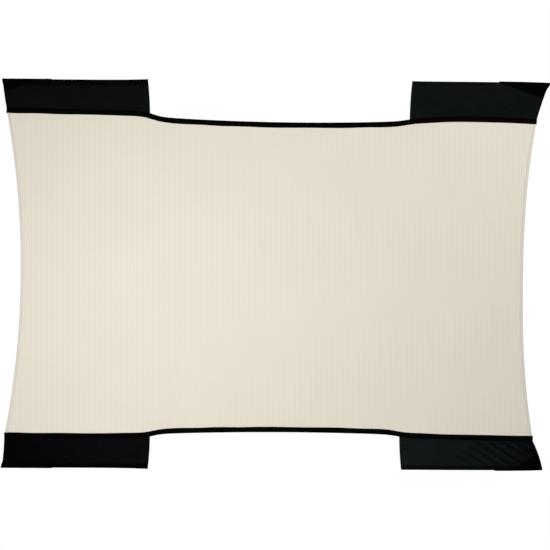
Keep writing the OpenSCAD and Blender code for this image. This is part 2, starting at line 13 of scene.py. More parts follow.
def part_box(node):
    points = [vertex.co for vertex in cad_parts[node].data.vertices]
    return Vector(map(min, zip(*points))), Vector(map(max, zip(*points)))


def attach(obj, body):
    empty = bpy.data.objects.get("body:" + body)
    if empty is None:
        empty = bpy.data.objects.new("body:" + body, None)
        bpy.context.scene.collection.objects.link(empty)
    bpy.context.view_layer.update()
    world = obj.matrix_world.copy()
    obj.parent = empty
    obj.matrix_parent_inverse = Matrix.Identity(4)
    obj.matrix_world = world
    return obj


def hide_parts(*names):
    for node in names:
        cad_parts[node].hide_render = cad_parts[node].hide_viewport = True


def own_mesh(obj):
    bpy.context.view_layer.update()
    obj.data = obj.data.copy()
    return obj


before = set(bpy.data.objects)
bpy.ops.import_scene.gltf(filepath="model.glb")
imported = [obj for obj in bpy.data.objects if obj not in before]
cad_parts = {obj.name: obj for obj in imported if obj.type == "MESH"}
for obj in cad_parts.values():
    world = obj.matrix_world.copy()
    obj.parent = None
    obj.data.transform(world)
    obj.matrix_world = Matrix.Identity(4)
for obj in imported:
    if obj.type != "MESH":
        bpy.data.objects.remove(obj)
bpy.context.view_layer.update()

MM = 0.001
CORNERS = {"tl": (-1, 1), "tr": (1, 1), "bl": (-1, -1), "br": (1, -1)}

# %% [markdown]
# Every new piece is a surface on a grid: a function of two parameters, worked out for all points at
# once with numpy. Blender's modelling tools could build these by hand, but a formula keeps the cloth,
# its tapes and its seams on exactly the same lines. Three helpers turn grids into meshes: an open
# grid, a pair of faces that share their border, and a tube with closed ends.


# %% Grids into meshes
def grid_faces(rows, columns, first=0, closed=False):
    """Quads between neighbours of a grid numbered row by row: point (i, j) is i * columns + j.
    With closed, the last column is joined to the first."""
    j = np.arange(columns if closed else columns - 1)
    i = np.arange(rows - 1)[:, None]
    after = (j + 1) % columns
    corners = [i * columns + j, i * columns + after]
    corners += [(i + 1) * columns + after, (i + 1) * columns + j]
    return first + np.stack(corners, axis=-1).reshape(-1, 4)


def make_piece(name, points, faces, uv=None, sheen_and_shade=None):
    """Puts arrays into a new smooth mesh object at the origin. uv holds one pair per point, and the last
    argument, where given, one number per point for the finishes to read: the painted sheen and shade."""
    mesh = bpy.data.meshes.new(name)
    mesh.from_pydata(points.reshape(-1, 3).tolist(), [], [f for part in faces for f in part.tolist()])
    if uv is not None:
        corner = np.empty(len(mesh.loops), np.int64)
        mesh.loops.foreach_get("vertex_index", corner)
        mesh.uv_layers.new(name="Cloth").data.foreach_set("uv", uv.reshape(-1, 2)[corner].ravel())
    if sheen_and_shade is not None:
        # one number per point of painted sheen and shade, which the nylon finishes read
        mesh.attributes.new("sheen_and_shade", "FLOAT", "POINT").data.foreach_set("value", sheen_and_shade.ravel())
    mesh.polygons.foreach_set("use_smooth", np.ones(len(mesh.polygons), bool))
    mesh.update()
    piece = bpy.data.objects.new(name, mesh)
    bpy.context.scene.collection.objects.link(piece)
    return piece


def two_faced(name, front, back, uv, sheen_and_shade=None):
    """A thin closed piece: the back grid borrows the front grid's border points, so the two faces
    meet in one sharp rim. Front faces come first in the mesh, back faces after them."""
    rows, columns = front.shape[:2]
    number = np.arange(rows * columns).reshape(rows, columns)
    behind = number.copy()
    inside = (slice(1, -1), slice(1, -1))
    behind[inside] = rows * columns + np.arange((rows - 2) * (columns - 2)).reshape(rows - 2, columns - 2)
    points = np.concatenate([front.reshape(-1, 3), back[inside].reshape(-1, 3)])
    both = np.concatenate([uv.reshape(-1, 2), uv[inside].reshape(-1, 2)])
    if sheen_and_shade is not None:
        sheen_and_shade = np.concatenate([sheen_and_shade.ravel(), sheen_and_shade[inside].ravel()])
    quads = grid_faces(rows, columns)
    turned = behind.ravel()[quads][:, ::-1]
    return make_piece(name, points, [quads, turned], both, sheen_and_shade)


def tube(name, rings, uv):
    """A closed tube: rings[i, j] is point j of ring i, and a fan of triangles shuts each end."""
    rows, columns = rings.shape[:2]
    ends = rings[[0, -1]].mean(axis=1)
    points = np.concatenate([rings.reshape(-1, 3), ends])
    both = np.concatenate([uv.reshape(-1, 2), uv[[0, -1]].mean(axis=1)])
    j = np.arange(columns)
    after = (j + 1) % columns
    start = np.stack([after, j, np.full(columns, rows * columns)], axis=-1)
    last = (rows - 1) * columns
    stop = np.stack([last + j, last + after, np.full(columns, rows * columns + 1)], axis=-1)
    return make_piece(name, points, [grid_faces(rows, columns, closed=True), start, stop], both)


print("grid helpers ready")

# %% [markdown]
# The outline comes from the frame: the cloth, bands and patches are in the imported model, so their
# boxes give the widths, heights and depths. The real screen isn't quite even, and the photograph
# shows where: the seams end further out on the left than on the right, the bands differ in length,
# and some seams bow a little. Those few sizes are listed here, one for each corner.

# %% Measures of the screen
cloth_low, cloth_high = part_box("screen_cloth")
CLOTH_T = cloth_high.y - cloth_low.y
MIDDLE_Y = (cloth_low.y + cloth_high.y) / 2
MIDDLE_Z = (cloth_low.z + cloth_high.z) / 2
band_box = {c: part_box("corner_band_" + c) for c in CORNERS}
patch_box = {c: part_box("corner_patch_" + c) for c in CORNERS}
pocket_box = {c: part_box("tip_pocket_" + c) for c in CORNERS}
OUTER_X = band_box["tr"][1].x
LIP = 1 * MM
OUTER_H = patch_box["tr"][1].z - MIDDLE_Z - LIP
PATCH_L = patch_box["tr"][1].x - patch_box["tr"][0].x
TAPE_T = 0.8 * MM
TAPE_W = 11.7 * MM
HEM_T = 0.5 * MM
HEM_W = 7 * MM
BAND_LEAN = 5 * MM
BAND_IN = {"tl": 0.2865, "tr": 0.3076, "bl": 0.2852, "br": 0.2908}
SEAM_OUT = {"tl": 0.6148, "tr": 0.5988, "bl": 0.622, "br": 0.5995}
SEAM_HIGH = {"tl": (0.3757, 0.3815), "tr": (0.3622, 0.362), "bl": (0.376, 0.377), "br": (0.3718, 0.3773)}
SEAM_BOW = {"tl": 0 * MM, "tr": 4.9 * MM, "bl": 1.2 * MM, "br": 1.4 * MM}
STEP = {"tl": 12.7 * MM, "tr": 6 * MM, "bl": 9 * MM, "br": 6.5 * MM}
STEP_RUN = 22 * MM
EDGE_SAG = {1: 8 * MM, -1: 5.6 * MM}
SIDE_SAG = {-1: 36 * MM, 1: 27.7 * MM}
SIDE_POWER = {-1: 2.0, 1: 2.4}


def corner_name(side, up):
    """The name of the corner on that side, as the CAD nodes spell it."""
    return ("b", "", "t")[up + 1] + ("l", "", "r")[side + 1]


print("screen", 2 * OUTER_X, "x", 2 * (OUTER_H + LIP), "m")

# %% [markdown]
# A stretched cloth pulls its free edges hollow. Along the bands the long edges run almost straight.
# At a band's inner end nothing holds the edge out any more, so it steps in quickly, and from there
# it hangs across to the other band as a shallow parabola. The short sides are free all the way, so
# they bow from corner to corner. Curves drawn by hand could trace these lines. Formulas need only a few
# sizes, and give a point anywhere along an edge, which the tapes, bands and stitches ask for later.


# %% Edges of the cloth
def edge_height(x, up):
    """Height of a long cut edge at each x. Along a seam it is a straight line plus half a sine wave;
    between the bands it is a parabola under the line that joins the two steps. A hyperbolic tangent
    round the band's inner end blends the one into the other."""
    left, right = corner_name(-1, up), corner_name(1, up)
    ends = {c: SEAM_HIGH[c][0] - STEP[c] for c in (left, right)}
    across = np.clip((x + BAND_IN[left]) / (BAND_IN[left] + BAND_IN[right]), 0, 1)
    free = ends[left] + (ends[right] - ends[left]) * across - EDGE_SAG[up] * 4 * across * (1 - across)
    inner, out, start, stop, bow = (
        np.where(x < 0, values[0], values[1])
        for values in zip(*[(BAND_IN[c], SEAM_OUT[c], *SEAM_HIGH[c], SEAM_BOW[c]) for c in (left, right)])
    )
    along = np.clip((np.abs(x) - inner) / (out - inner), 0, 1)
    sewn = start + (stop - start) * along + bow * np.sin(np.pi * along)
    share = (1 + np.tanh((np.abs(x) - inner + 0.2 * STEP_RUN) / STEP_RUN)) / 2
    return up * (free + (sewn - free) * share)


def long_edge(up, s):
    """Points (x, height) along a long edge, for s from 0 at the left seam end to 1 at the right."""
    x = -SEAM_OUT[corner_name(-1, up)] * (1 - s) + SEAM_OUT[corner_name(1, up)] * s
    return np.stack([x, edge_height(x, up)], axis=-1)


def side_edge(side, t):
    """Points (x, height) along a short side, for t from 0 at the bottom to 1 at the top. The bow is one
    less a power of the distance from the middle, so it is deepest half-way and nothing at the seams."""
    end = float(side > 0)
    low, high = long_edge(-1, np.array(end)), long_edge(1, np.array(end))
    points = low + (high - low) * t[..., None]
    points[..., 0] -= side * SIDE_SAG[side] * (1 - np.abs(2 * t - 1) ** SIDE_POWER[side])
    return points


def place(plane, depth):
    """Points of the frame from (x, height) on the screen and a depth in front of its middle."""
    x, h = plane[..., 0], plane[..., 1]
    return np.stack(np.broadcast_arrays(x, MIDDLE_Y - depth, MIDDLE_Z + h), axis=-1)


print("hollow at the middle of the top edge:", float(edge_height(np.array(0.0), 1)), "m")

# %% [markdown]
# The screen is one sheet, cream in front and silver behind. A plane could be pulled into its shape by
# hand, but a Coons patch needs only the four edges: it is the blend that keeps all of them. The stretched
# cloth isn't dead flat: faint pull lines fan out of the corners, slight gathers run down it, and the
# stitched tape puckers its edge. All of these die out under the tapes and hems, where the cloth is held.

# %% Screen cloth
PULL_RISE = 0.55 * MM
PULL_MIDDLE, PULL_SPREAD = 0.62, 0.45
PULL_LINES = 17
PULL_START, PULL_FADE = 50 * MM, 200 * MM
GATHER_RISE = 0.07 * MM
GATHER_RUN, SMALL_GATHER_RUN = 13.1 * MM, 8.3 * MM
PUCKER_RISE = 0.3 * MM
PUCKER_RUN, PUCKER_FADE = 6.1 * MM, 12 * MM


def coons(s, t):
    """A surface through four edges: the blend of bottom and top by t, plus the blend of left and right by
    s, less the blend of the four corners that both of them count."""
    bottom, top = long_edge(-1, s), long_edge(1, s)
    left, right = side_edge(-1, t), side_edge(1, t)
    s, t = s[..., None], t[..., None]
    corner = [long_edge(up, np.array(end)) for up in (-1, 1) for end in (0.0, 1.0)]
    both = (1 - t) * ((1 - s) * corner[0] + s * corner[1]) + t * ((1 - s) * corner[2] + s * corner[3])
    return (1 - t) * bottom + t * top + (1 - s) * left + s * right - both


def pull_lines(plane):
    """Ridges that fan out of each corner: a cosine of the angle round the seam's end, fading with the
    distance from it and to both sides of the diagonal."""
    relief = np.zeros(plane.shape[:-1])
    for side, up in CORNERS.values():
        away = plane - long_edge(up, np.array(float(side > 0)))
        radius = np.hypot(away[..., 0], away[..., 1])
        angle = np.arctan2(-up * away[..., 1], -side * away[..., 0])
        spread = np.exp(-(((angle - PULL_MIDDLE) / PULL_SPREAD) ** 2))
        fan = spread * np.cos(PULL_LINES * angle + side + 2 * up)
        relief += PULL_RISE * fan * np.exp(-radius / PULL_FADE) * (1 - np.exp(-radius / PULL_START))
    return relief


def ease(distance, run):
    """From 0 to 1 over a run of distance, flat at both ends."""
    share = np.clip(distance / run, 0, 1)
    return share**2 * (3 - 2 * share)


def cloth_relief(plane, s, t):
    """Depth of the cloth in front of its plane: pull lines, vertical gathers whose phase drifts with
    height, and puckers along the tapes, all eased to nothing where the edges are held."""
    x, h = plane[..., 0], plane[..., 1]
    gathers = np.sin(x / GATHER_RUN + 1.7 * np.sin(h / 0.21)) + 0.7 * np.sin(x / SMALL_GATHER_RUN + h / 0.17)
    from_tape = np.minimum(t, 1 - t) * 2 * OUTER_H - TAPE_W
    from_hem = np.minimum(s, 1 - s) * 2 * OUTER_X - HEM_W
    puckers = np.sin(x / PUCKER_RUN + 2 * np.sin(x / 0.043)) * np.exp(-np.maximum(from_tape, 0) / PUCKER_FADE)
    relief = pull_lines(plane) + GATHER_RISE * gathers + PUCKER_RISE * puckers
    return relief * ease(from_tape, 16 * MM) * ease(from_hem, 20 * MM)


CLOTH_ROWS, CLOTH_COLUMNS = 131, 201
t, s = np.meshgrid(np.linspace(0, 1, CLOTH_ROWS), np.linspace(0, 1, CLOTH_COLUMNS), indexing="ij")
cloth_plane = coons(s, t)
relief = cloth_relief(cloth_plane, s, t)
cloth = two_faced(
    "screen_fabric",
    place(cloth_plane, relief + CLOTH_T / 2),
    place(cloth_plane, relief - CLOTH_T / 2),
    cloth_plane,
)
print("screen cloth:", len(cloth.data.polygons), "faces, relief up to", float(relief.max() / MM), "mm")

# %% [markdown]
# The long edges are bound with black tape, folded in half over the cut and sewn through. The short sides
# have a narrower pale hem, made the same way. A curve with a bevel object could sweep such a tape, but
# with one fixed profile. Here the profile, a flat loop with a round nose, is the folded tape seen end on.
# It is carried along the edge square to it, and its width may wander a little, as it does on sewn goods.

# %% Binding tape and hems
TAPE_WANDER, HEM_WANDER = 0.03, 0.04
WANDER_RUN, WANDER_DRIFT = 19 * MM, 71 * MM
HEM_FROM = 0.0152


def folded_profile(width, half, nose, turns=7):
    """A folded tape seen end on, as (inwards, depth): flat faces at plus and minus half, slightly
    pressed at their free edges, and a half ellipse of length nose over the cut edge."""
    flat = np.array([1, 0.94, 0.82, 0.7, 0.45, 0.2]) * width
    press = np.array([0.42, 0.86, 0.97, 0.86, 1.0, 1.04]) * half
    angle = np.linspace(90, -90, turns) * np.pi / 180
    nose_in, nose_out = -nose * np.cos(angle), half * np.sin(angle)
    inwards = np.concatenate([flat, nose_in, flat[::-1]])
    return np.stack([inwards, np.concatenate([press, nose_out, -press[::-1]])], axis=-1)


def edge_frame(path):
    """Unit normals that point into the cloth, square to a path of (x, height) points."""
    along = np.gradient(path, axis=0)
    normal = np.stack([-along[:, 1], along[:, 0]], axis=-1)
    normal /= np.linalg.norm(normal, axis=1, keepdims=True)
    return normal * np.sign((normal * -path).sum(axis=1))[:, None]


def folded_tape(name, path, profile, wander):
    """The folded profile carried along a path; its free edge wanders a little in width."""
    normal = edge_frame(path)
    length = np.concatenate([[0], np.cumsum(np.linalg.norm(np.diff(path, axis=0), axis=1))])
    width = 1 + wander * np.sin(length / WANDER_RUN + 1.3 * np.sin(length / WANDER_DRIFT))
    inwards = np.where(profile[:, 0] > 0, profile[:, 0] * width[:, None], profile[:, 0])
    plane = path[:, None, :] + normal[:, None, :] * inwards[..., None]
    depth = np.broadcast_to(profile[:, 1], inwards.shape)
    round_it = np.concatenate([[0], np.cumsum(np.linalg.norm(np.diff(profile, axis=0), axis=1))])
    uv = np.stack(np.broadcast_arrays(length[:, None], round_it[None, :]), axis=-1)
    return tube(name, place(plane, depth), uv)


def outwards(piece):
    """Turns a closed piece's faces to the outside. The volume is a sum over triangles of the first
    corner crossed with the second and dotted with the third; it is negative where they face inwards."""
    mesh = piece.data
    mesh.calc_loop_triangles()
    corner = np.empty(3 * len(mesh.loop_triangles), np.int32)
    mesh.loop_triangles.foreach_get("vertices", corner)
    points = np.empty(3 * len(mesh.vertices), np.float32)
    mesh.vertices.foreach_get("co", points)
    first, second, third = points.reshape(-1, 3)[corner.reshape(-1, 3)].transpose(1, 0, 2)
    if (np.cross(first, second) * third).sum() < 0:
        mesh.flip_normals()
    return piece


tape_profile = folded_profile(TAPE_W, CLOTH_T / 2 + TAPE_T, TAPE_T)
tapes = {}
for up, name in ((1, "top_tape"), (-1, "bottom_tape")):
    path = long_edge(up, np.linspace(0, 1, 321))
    tapes[up] = outwards(folded_tape(name, path, tape_profile, TAPE_WANDER))
hem_profile = folded_profile(HEM_W, CLOTH_T / 2 + HEM_T, HEM_T)
hems = {}
for side, name in ((-1, "left_turned_hem"), (1, "right_turned_hem")):
    path = side_edge(side, np.linspace(HEM_FROM, 1 - HEM_FROM, 161))
    hems[side] = outwards(folded_tape(name, path, hem_profile, HEM_WANDER))
print("tapes and hems:", [p.name for p in (*tapes.values(), *hems.values())])

# %% [markdown]
# Each corner band is two layers of nylon sewn together round their rim. Seen from the front it is a strip
# between two lines: the seam on the cloth's edge, and its own outer edge. The arm pushes against its outer
# end, which leans and bows, and draws the tip out into a small ear. A sculpting brush could pull a mesh
# like that by hand. As formulas of the place on the band, the same pulls also move the patch that lies
# on it and the stitches.

# %% Outline of a band
END_RISE = {"tl": 2.2 * MM, "tr": 1.2 * MM, "bl": 2.0 * MM, "br": 0.5 * MM}
INNER_BOW = 1.1 * MM
END_BOW = {"tl": -0.8 * MM, "tr": 0.9 * MM, "bl": 0 * MM, "br": -2.1 * MM}
TIP_OUT = {"tl": -3.0 * MM, "tr": 0.4 * MM, "bl": 1.6 * MM, "br": -2.7 * MM}
TIP_EAR = {"tl": 2.6 * MM, "tr": 3.8 * MM, "bl": 3.4 * MM, "br": 0 * MM}
TIP_DROP = {"tl": 0 * MM, "tr": 2.4 * MM, "bl": 0 * MM, "br": 2.1 * MM}
EAR_RUN = 18 * MM


def tip_drop(corner, out):
    """How far the outer edge falls back towards the tip: by the square of the way along the patch."""
    return TIP_DROP[corner] * np.clip((out - OUTER_X + PATCH_L) / PATCH_L, 0, 1) ** 2


def band_edges(corner, s):
    """Seam and outer edge of a band as two rows of (x, height), for s from its inner to its outer end."""
    side, up = CORNERS[corner]
    inner = BAND_IN[corner]
    seam_x = side * (inner + (SEAM_OUT[corner] - inner) * s)
    seam = np.stack([seam_x, edge_height(seam_x, up) + up * TAPE_T * 0.4], axis=-1)
    out = inner + BAND_LEAN + (OUTER_X - inner - BAND_LEAN) * s
    slack = 0.5 * MM * np.sin(np.pi * s) * np.sin(3 * s + side) + END_RISE[corner] * np.exp(-s / 0.16)
    outer = np.stack([side * out, up * (OUTER_H + slack - tip_drop(corner, out))], axis=-1)
    return seam, outer


def end_shift(corner, s, t):
    """How far the pull on a band moves its ends along x, dying out along the band. The inner end bows as
    a parabola in t. The outer end bows too, leans by the square of t, and pokes out in an ear that is
    eased in over the last stretch before the outer edge."""
    from_edge = (1 - t) * (OUTER_H - SEAM_HIGH[corner][1])
    ear = TIP_EAR[corner] * ease(EAR_RUN - from_edge, 0.9 * EAR_RUN)
    bow = np.where(s > 0.5, END_BOW[corner], INNER_BOW) * 4 * t * (1 - t)
    reach = np.where(s > 0.5, TIP_OUT[corner] * t**2 + ear, 0) - bow
    return CORNERS[corner][0] * reach * (2 * s - 1) ** 6


def band_plane(corner, s, t):
    """Straight lines from the seam, t = 0, to the outer edge, t = 1, with the ends shifted."""
    seam, outer = band_edges(corner, s)
    plane = seam + (outer - seam) * t[..., None]
    plane[..., 0] += end_shift(corner, s, t)
    return plane


tips = {c: band_plane(c, np.array(1.0), np.array(1.0)).round(4).tolist() for c in CORNERS}
print("tips of the bands, x and height:", tips)

# %% [markdown]
# A band is a flat cushion: a rolled rim, a channel where the stitching presses it, and a slightly full
# middle. Its outer edge is turned over into a broad hem, and near its outer end the nylon creases in
# slanting folds that run into the patch. A cloth simulation would find folds of its own. Sines across a
# slanting line give them the place and direction that they have on the real band.

# %% Thickness of a band
BAND_RIM = 2.2 * MM
BAND_CHANNEL = 7 * MM
CHANNEL_DIP, CHANNEL_WIDE = 0.55 * MM, 1.6 * MM
BAND_FULL, BACK_FULL = 2.4 * MM, 1.4 * MM
OUTER_HEM = {"tl": 12 * MM, "tr": 7 * MM, "bl": 10 * MM, "br": 9 * MM}
CREASE = {"tl": 0.5 * MM, "tr": 0.45 * MM, "bl": 0.5 * MM, "br": 1.0 * MM}
CREASE_LEAN = np.radians(31)
CREASE_PITCH = 16.5 * MM
CREASE_MIDDLE, CREASE_SPREAD = 95 * MM, 70 * MM


def from_rim(corner, s, t):
    """Distance of a place on a band to its nearest edge, with the broad outer hem scaled to the width of
    the other rims."""
    seam, outer = band_edges(corner, s)
    tall = np.linalg.norm(outer - seam, axis=-1)
    to_edge = np.minimum(t, (1 - t) * BAND_CHANNEL / OUTER_HEM[corner]) * tall
    return np.minimum(to_edge, np.minimum(s, 1 - s) * (OUTER_X - BAND_IN[corner]))


def band_depth(corner, s, t):
    """Half thickness of a band: a round rim over the distance to the nearest edge, a dip at the
    stitched channel, and a full middle."""
    inside = from_rim(corner, s, t)
    rim = BAND_RIM / 2 * np.sqrt(np.clip(1 - (1 - np.clip(inside / BAND_RIM, 0, 1)) ** 2, 0, 1))
    channel = CHANNEL_DIP * np.exp(-(((inside - BAND_CHANNEL) / CHANNEL_WIDE) ** 2))
    middle = (BAND_FULL - BAND_RIM / 2) * (1 - np.exp(-np.maximum(inside - BAND_CHANNEL, 0) / (9 * MM)))
    return rim - channel + middle


def crease_wave(corner, s, t, plane):
    """Slanting folds near the outer end: sines of the distance across a leaning direction, at two
    periods that drift along it, fading along the band and towards the rim."""
    side, up = CORNERS[corner]
    inwards = np.array([OUTER_X, OUTER_H]) - np.abs(plane)
    along = inwards[..., 0] * np.cos(CREASE_LEAN) + inwards[..., 1] * np.sin(CREASE_LEAN)
    across = inwards[..., 1] * np.cos(CREASE_LEAN) - inwards[..., 0] * np.sin(CREASE_LEAN)
    turn = 2 * np.pi * across / CREASE_PITCH + 0.7 * np.sin(along / (37 * MM)) + 3 * side + up
    wave = np.sin(turn) + 0.6 * np.sin(1.77 * turn + along / (52 * MM))
    fade = np.exp(-(((along - CREASE_MIDDLE) / CREASE_SPREAD) ** 2))
    return wave * fade * ease(from_rim(corner, s, t), 14 * MM)


def band_faces(corner, s, t, plane):
    """Depths of the front and back faces. The back lies flatter than the front and takes less of the
    folds, so that the lock collars pass behind it when the arms are folded."""
    half, folds = band_depth(corner, s, t), CREASE[corner] * crease_wave(corner, s, t, plane)
    return half + folds, 0.4 * folds - np.minimum(half, BACK_FULL)


print("half thickness of a band, mm:", float(band_depth("tl", np.array(0.5), np.array(0.5)) / MM))

# %% [markdown]
# The mesh keeps one number per point, which the finish reads: painted sheen and shade on the black
# nylon. It differs from band to band, is higher on the crests of the folds as a painted highlight,
# and least in the hems as painted shade. It could be painted on the mesh by hand, but a formula keeps
# it on the folds and hems that it belongs to. With it the bands are made, as two-faced grids.

# %% Painted sheen and shade, and the bands themselves
# painted sheen and shade of each band at its inner and outer end: most sheen on br, painted shade at bl's
# outer end
END_SHEEN_AND_SHADE = {"tl": (0.74, 0.7), "tr": (1.06, 0.95), "bl": (0.56, 0.08), "br": (1.75, 0.5)}
# a painted highlight on the crests of the folds, and the share left in the outer hem, where it paints shade
CREASE_HIGHLIGHT = {"tl": 0.08, "tr": 0.05, "bl": 0.08, "br": 0.42}
HEM_SHARE = {"tl": 0.3, "tr": 0.85, "bl": 0.1, "br": 0.4}


def band_sheen_and_shade(corner, s, t):
    """Painted sheen and shade on the nylon: from one value at the inner end to another at the outer end,
    by the square of s, more along the inner end's stitching, more on the crests of the folds as a painted
    highlight, and less in the outer hem as painted shade."""
    seam, outer = band_edges(corner, s)
    to_outer = (1 - t) * np.linalg.norm(outer - seam, axis=-1)
    start, stop = END_SHEEN_AND_SHADE[corner]
    field = (start + (stop - start) * s**2) * (1 + 0.35 * np.exp(-s * (OUTER_X - BAND_IN[corner]) / (7 * MM)))
    field *= np.maximum(1 + CREASE_HIGHLIGHT[corner] * crease_wave(corner, s, t, band_plane(corner, s, t)), 0)
    return field * (HEM_SHARE[corner] + (1 - HEM_SHARE[corner]) * ease(to_outer - OUTER_HEM[corner], 4 * MM))


BAND_ROWS, BAND_COLUMNS = 61, 181
rows, columns = np.linspace(0, 1, BAND_ROWS), np.linspace(0, 1, BAND_COLUMNS)
t, s = np.meshgrid((1 - np.cos(np.pi * rows)) / 2, columns, indexing="ij")
bands = {}
for corner in CORNERS:
    plane = band_plane(corner, s, t)
    front, back = (place(plane, depth) for depth in band_faces(corner, s, t, plane))
    piece = two_faced("nylon_band_" + corner, front, back, plane, band_sheen_and_shade(corner, s, t))
    bands[corner] = outwards(piece)
print("bands:", {c: len(p.data.polygons) for c, p in bands.items()})

# %% [markdown]
# A patch strengthens each outer corner: a three-cornered piece of heavier nylon on the front of the
# band, wrapped over its outer edge and sewn down behind. Shrinkwrap could lay a sheet on the band, but
# not fold it cleanly round the edge. So it is an open grid that takes its depth from the band's own
# formula: from its slanted edge up the front, round the band's edge and a little way down the back.
# Solidify gives it its thickness.

# %% Corner patches
PATCH_T = 0.8 * MM
PATCH_H = {"tl": 30 * MM, "tr": 37 * MM, "bl": 31 * MM, "br": 42 * MM}
PATCH_BACK = 14 * MM
PATCH_OVER, PATCH_DOWN = 0.6, 0.75
PATCH_LEAST, PATCH_CLEAR = 1.0 * MM, 0.2 * MM
PATCH_CURVE = {"tl": 1.6, "tr": 1.05, "bl": 1.5, "br": 2.0}


def band_place(corner, plane):
    """The (s, t) of points on a band: t from the height between its edges, s from x between its ends."""
    side, up = CORNERS[corner]
    x, h = side * plane[..., 0], up * plane[..., 1]
    seam = np.abs(edge_height(plane[..., 0], up))
    t = np.clip((h - seam) / (OUTER_H - seam), 0, 1)
    inner = BAND_IN[corner] + BAND_LEAN * t
    outer = SEAM_OUT[corner] + (OUTER_X - SEAM_OUT[corner]) * t
    return np.clip((x - inner) / (outer - inner), 0, 1), t


def band_at(corner, plane):
    """Depths of a band's front and back faces at points on it."""
    return band_faces(corner, *band_place(corner, plane), plane)


def end_slope(corner):
    """How far a band's outer end leans outwards for each unit of height."""
    return (OUTER_X - SEAM_OUT[corner]) / (OUTER_H - SEAM_HIGH[corner][1])


def patch_surface(corner, rows=41, columns=49):
    """Rows run from the slanted edge to the outer edge, round it as half a circle from PATCH_OVER to
    PATCH_DOWN, and down the back; columns run from the patch's inner end to the outer corner. Its ends
    shift as the band's do."""
    side, up = CORNERS[corner]
    v, u = np.meshgrid(np.linspace(0, 1, rows), np.linspace(0, 1, columns), indexing="ij")
    slope = end_slope(corner)
    wide = (0.05 + 0.95 * u) ** PATCH_CURVE[corner]
    low = OUTER_H - PATCH_H[corner] * wide
    edge_x = OUTER_X - PATCH_L * (1 - u)
    low_x = edge_x - PATCH_H[corner] * slope * wide
    rise = np.clip(v / PATCH_OVER, 0, 1)
    turn = np.clip((v - PATCH_OVER) / (PATCH_DOWN - PATCH_OVER), 0, 1) * np.pi
    down = np.clip((v - PATCH_DOWN) / (1 - PATCH_DOWN), 0, 1)
    radius = LIP * 0.85
    high = OUTER_H - tip_drop(corner, edge_x)
    h = low + (high - low) * rise + radius * np.sin(turn) - PATCH_BACK * down * wide
    x = low_x + (edge_x - low_x) * rise - PATCH_BACK * slope * down * wide
    plane = np.stack([side * x, up * h], axis=-1)
    front, behind = band_at(corner, plane)
    depth = np.where(v <= PATCH_OVER, np.maximum(front, PATCH_LEAST) + PATCH_CLEAR, radius * np.cos(turn))
    behind = np.minimum(np.minimum(behind, -PATCH_LEAST) - PATCH_CLEAR, -radius)
    depth = np.where(v >= PATCH_DOWN, behind, depth)
    uv = plane + np.stack([0 * v, up * 0.06 * (v > PATCH_OVER)], axis=-1)
    plane[..., 0] += end_shift(corner, *band_place(corner, plane))
    return place(plane, depth), uv


def open_sheet(name, corner, points, uv, thickness, offset):
    """An open grid whose faces look outwards at its corner. Solidify gives it its thickness: offset 1
    grows it outwards, and 0 to both sides."""
    side, up = CORNERS[corner]
    quads = grid_faces(*points.shape[:2])
    quads = quads if side * up > 0 else quads[:, ::-1]
    # patches and pockets take an even 1: no painted sheen or shade of their own
    piece = make_piece(name + corner, points, [quads], uv, np.ones(points.shape[:2]))
    solid = piece.modifiers.new("thickness", "SOLIDIFY")
    solid.thickness, solid.offset = thickness, offset
    solid.use_even_offset = True
    return piece


patches = {c: open_sheet("corner_facing_", c, *patch_surface(c), PATCH_T, 1) for c in CORNERS}
print("patches:", [p.name for p in patches.values()])

# %% [markdown]
# Behind each band a pocket takes the tip of an arm. It is a slim three-cornered pouch, closed along
# the band's outer edge and end and open towards the hub, short enough to leave room for the lock
# collar when the arm is folded. The surface starts at the band, goes back as a side wall, turns over
# a round shoulder and runs across the back to the open edge, which is hemmed on the outside. It is
# deepest where the tip sits and runs out to nothing at both ends, as a sewn gusset does. An extruded and
# bevelled box would be quicker, but would have an even depth and look moulded.

# %% Tip pockets
POCKET_T = 1.0 * MM
POCKET_TALL = 28 * MM
SHOULDER = 8 * MM
POCKET_HEM = 7 * MM
HEM_ROUND = 0.65 * MM
POCKET_ROWS = (0, 0.3, 0.55, 0.82, 0.9, 1)


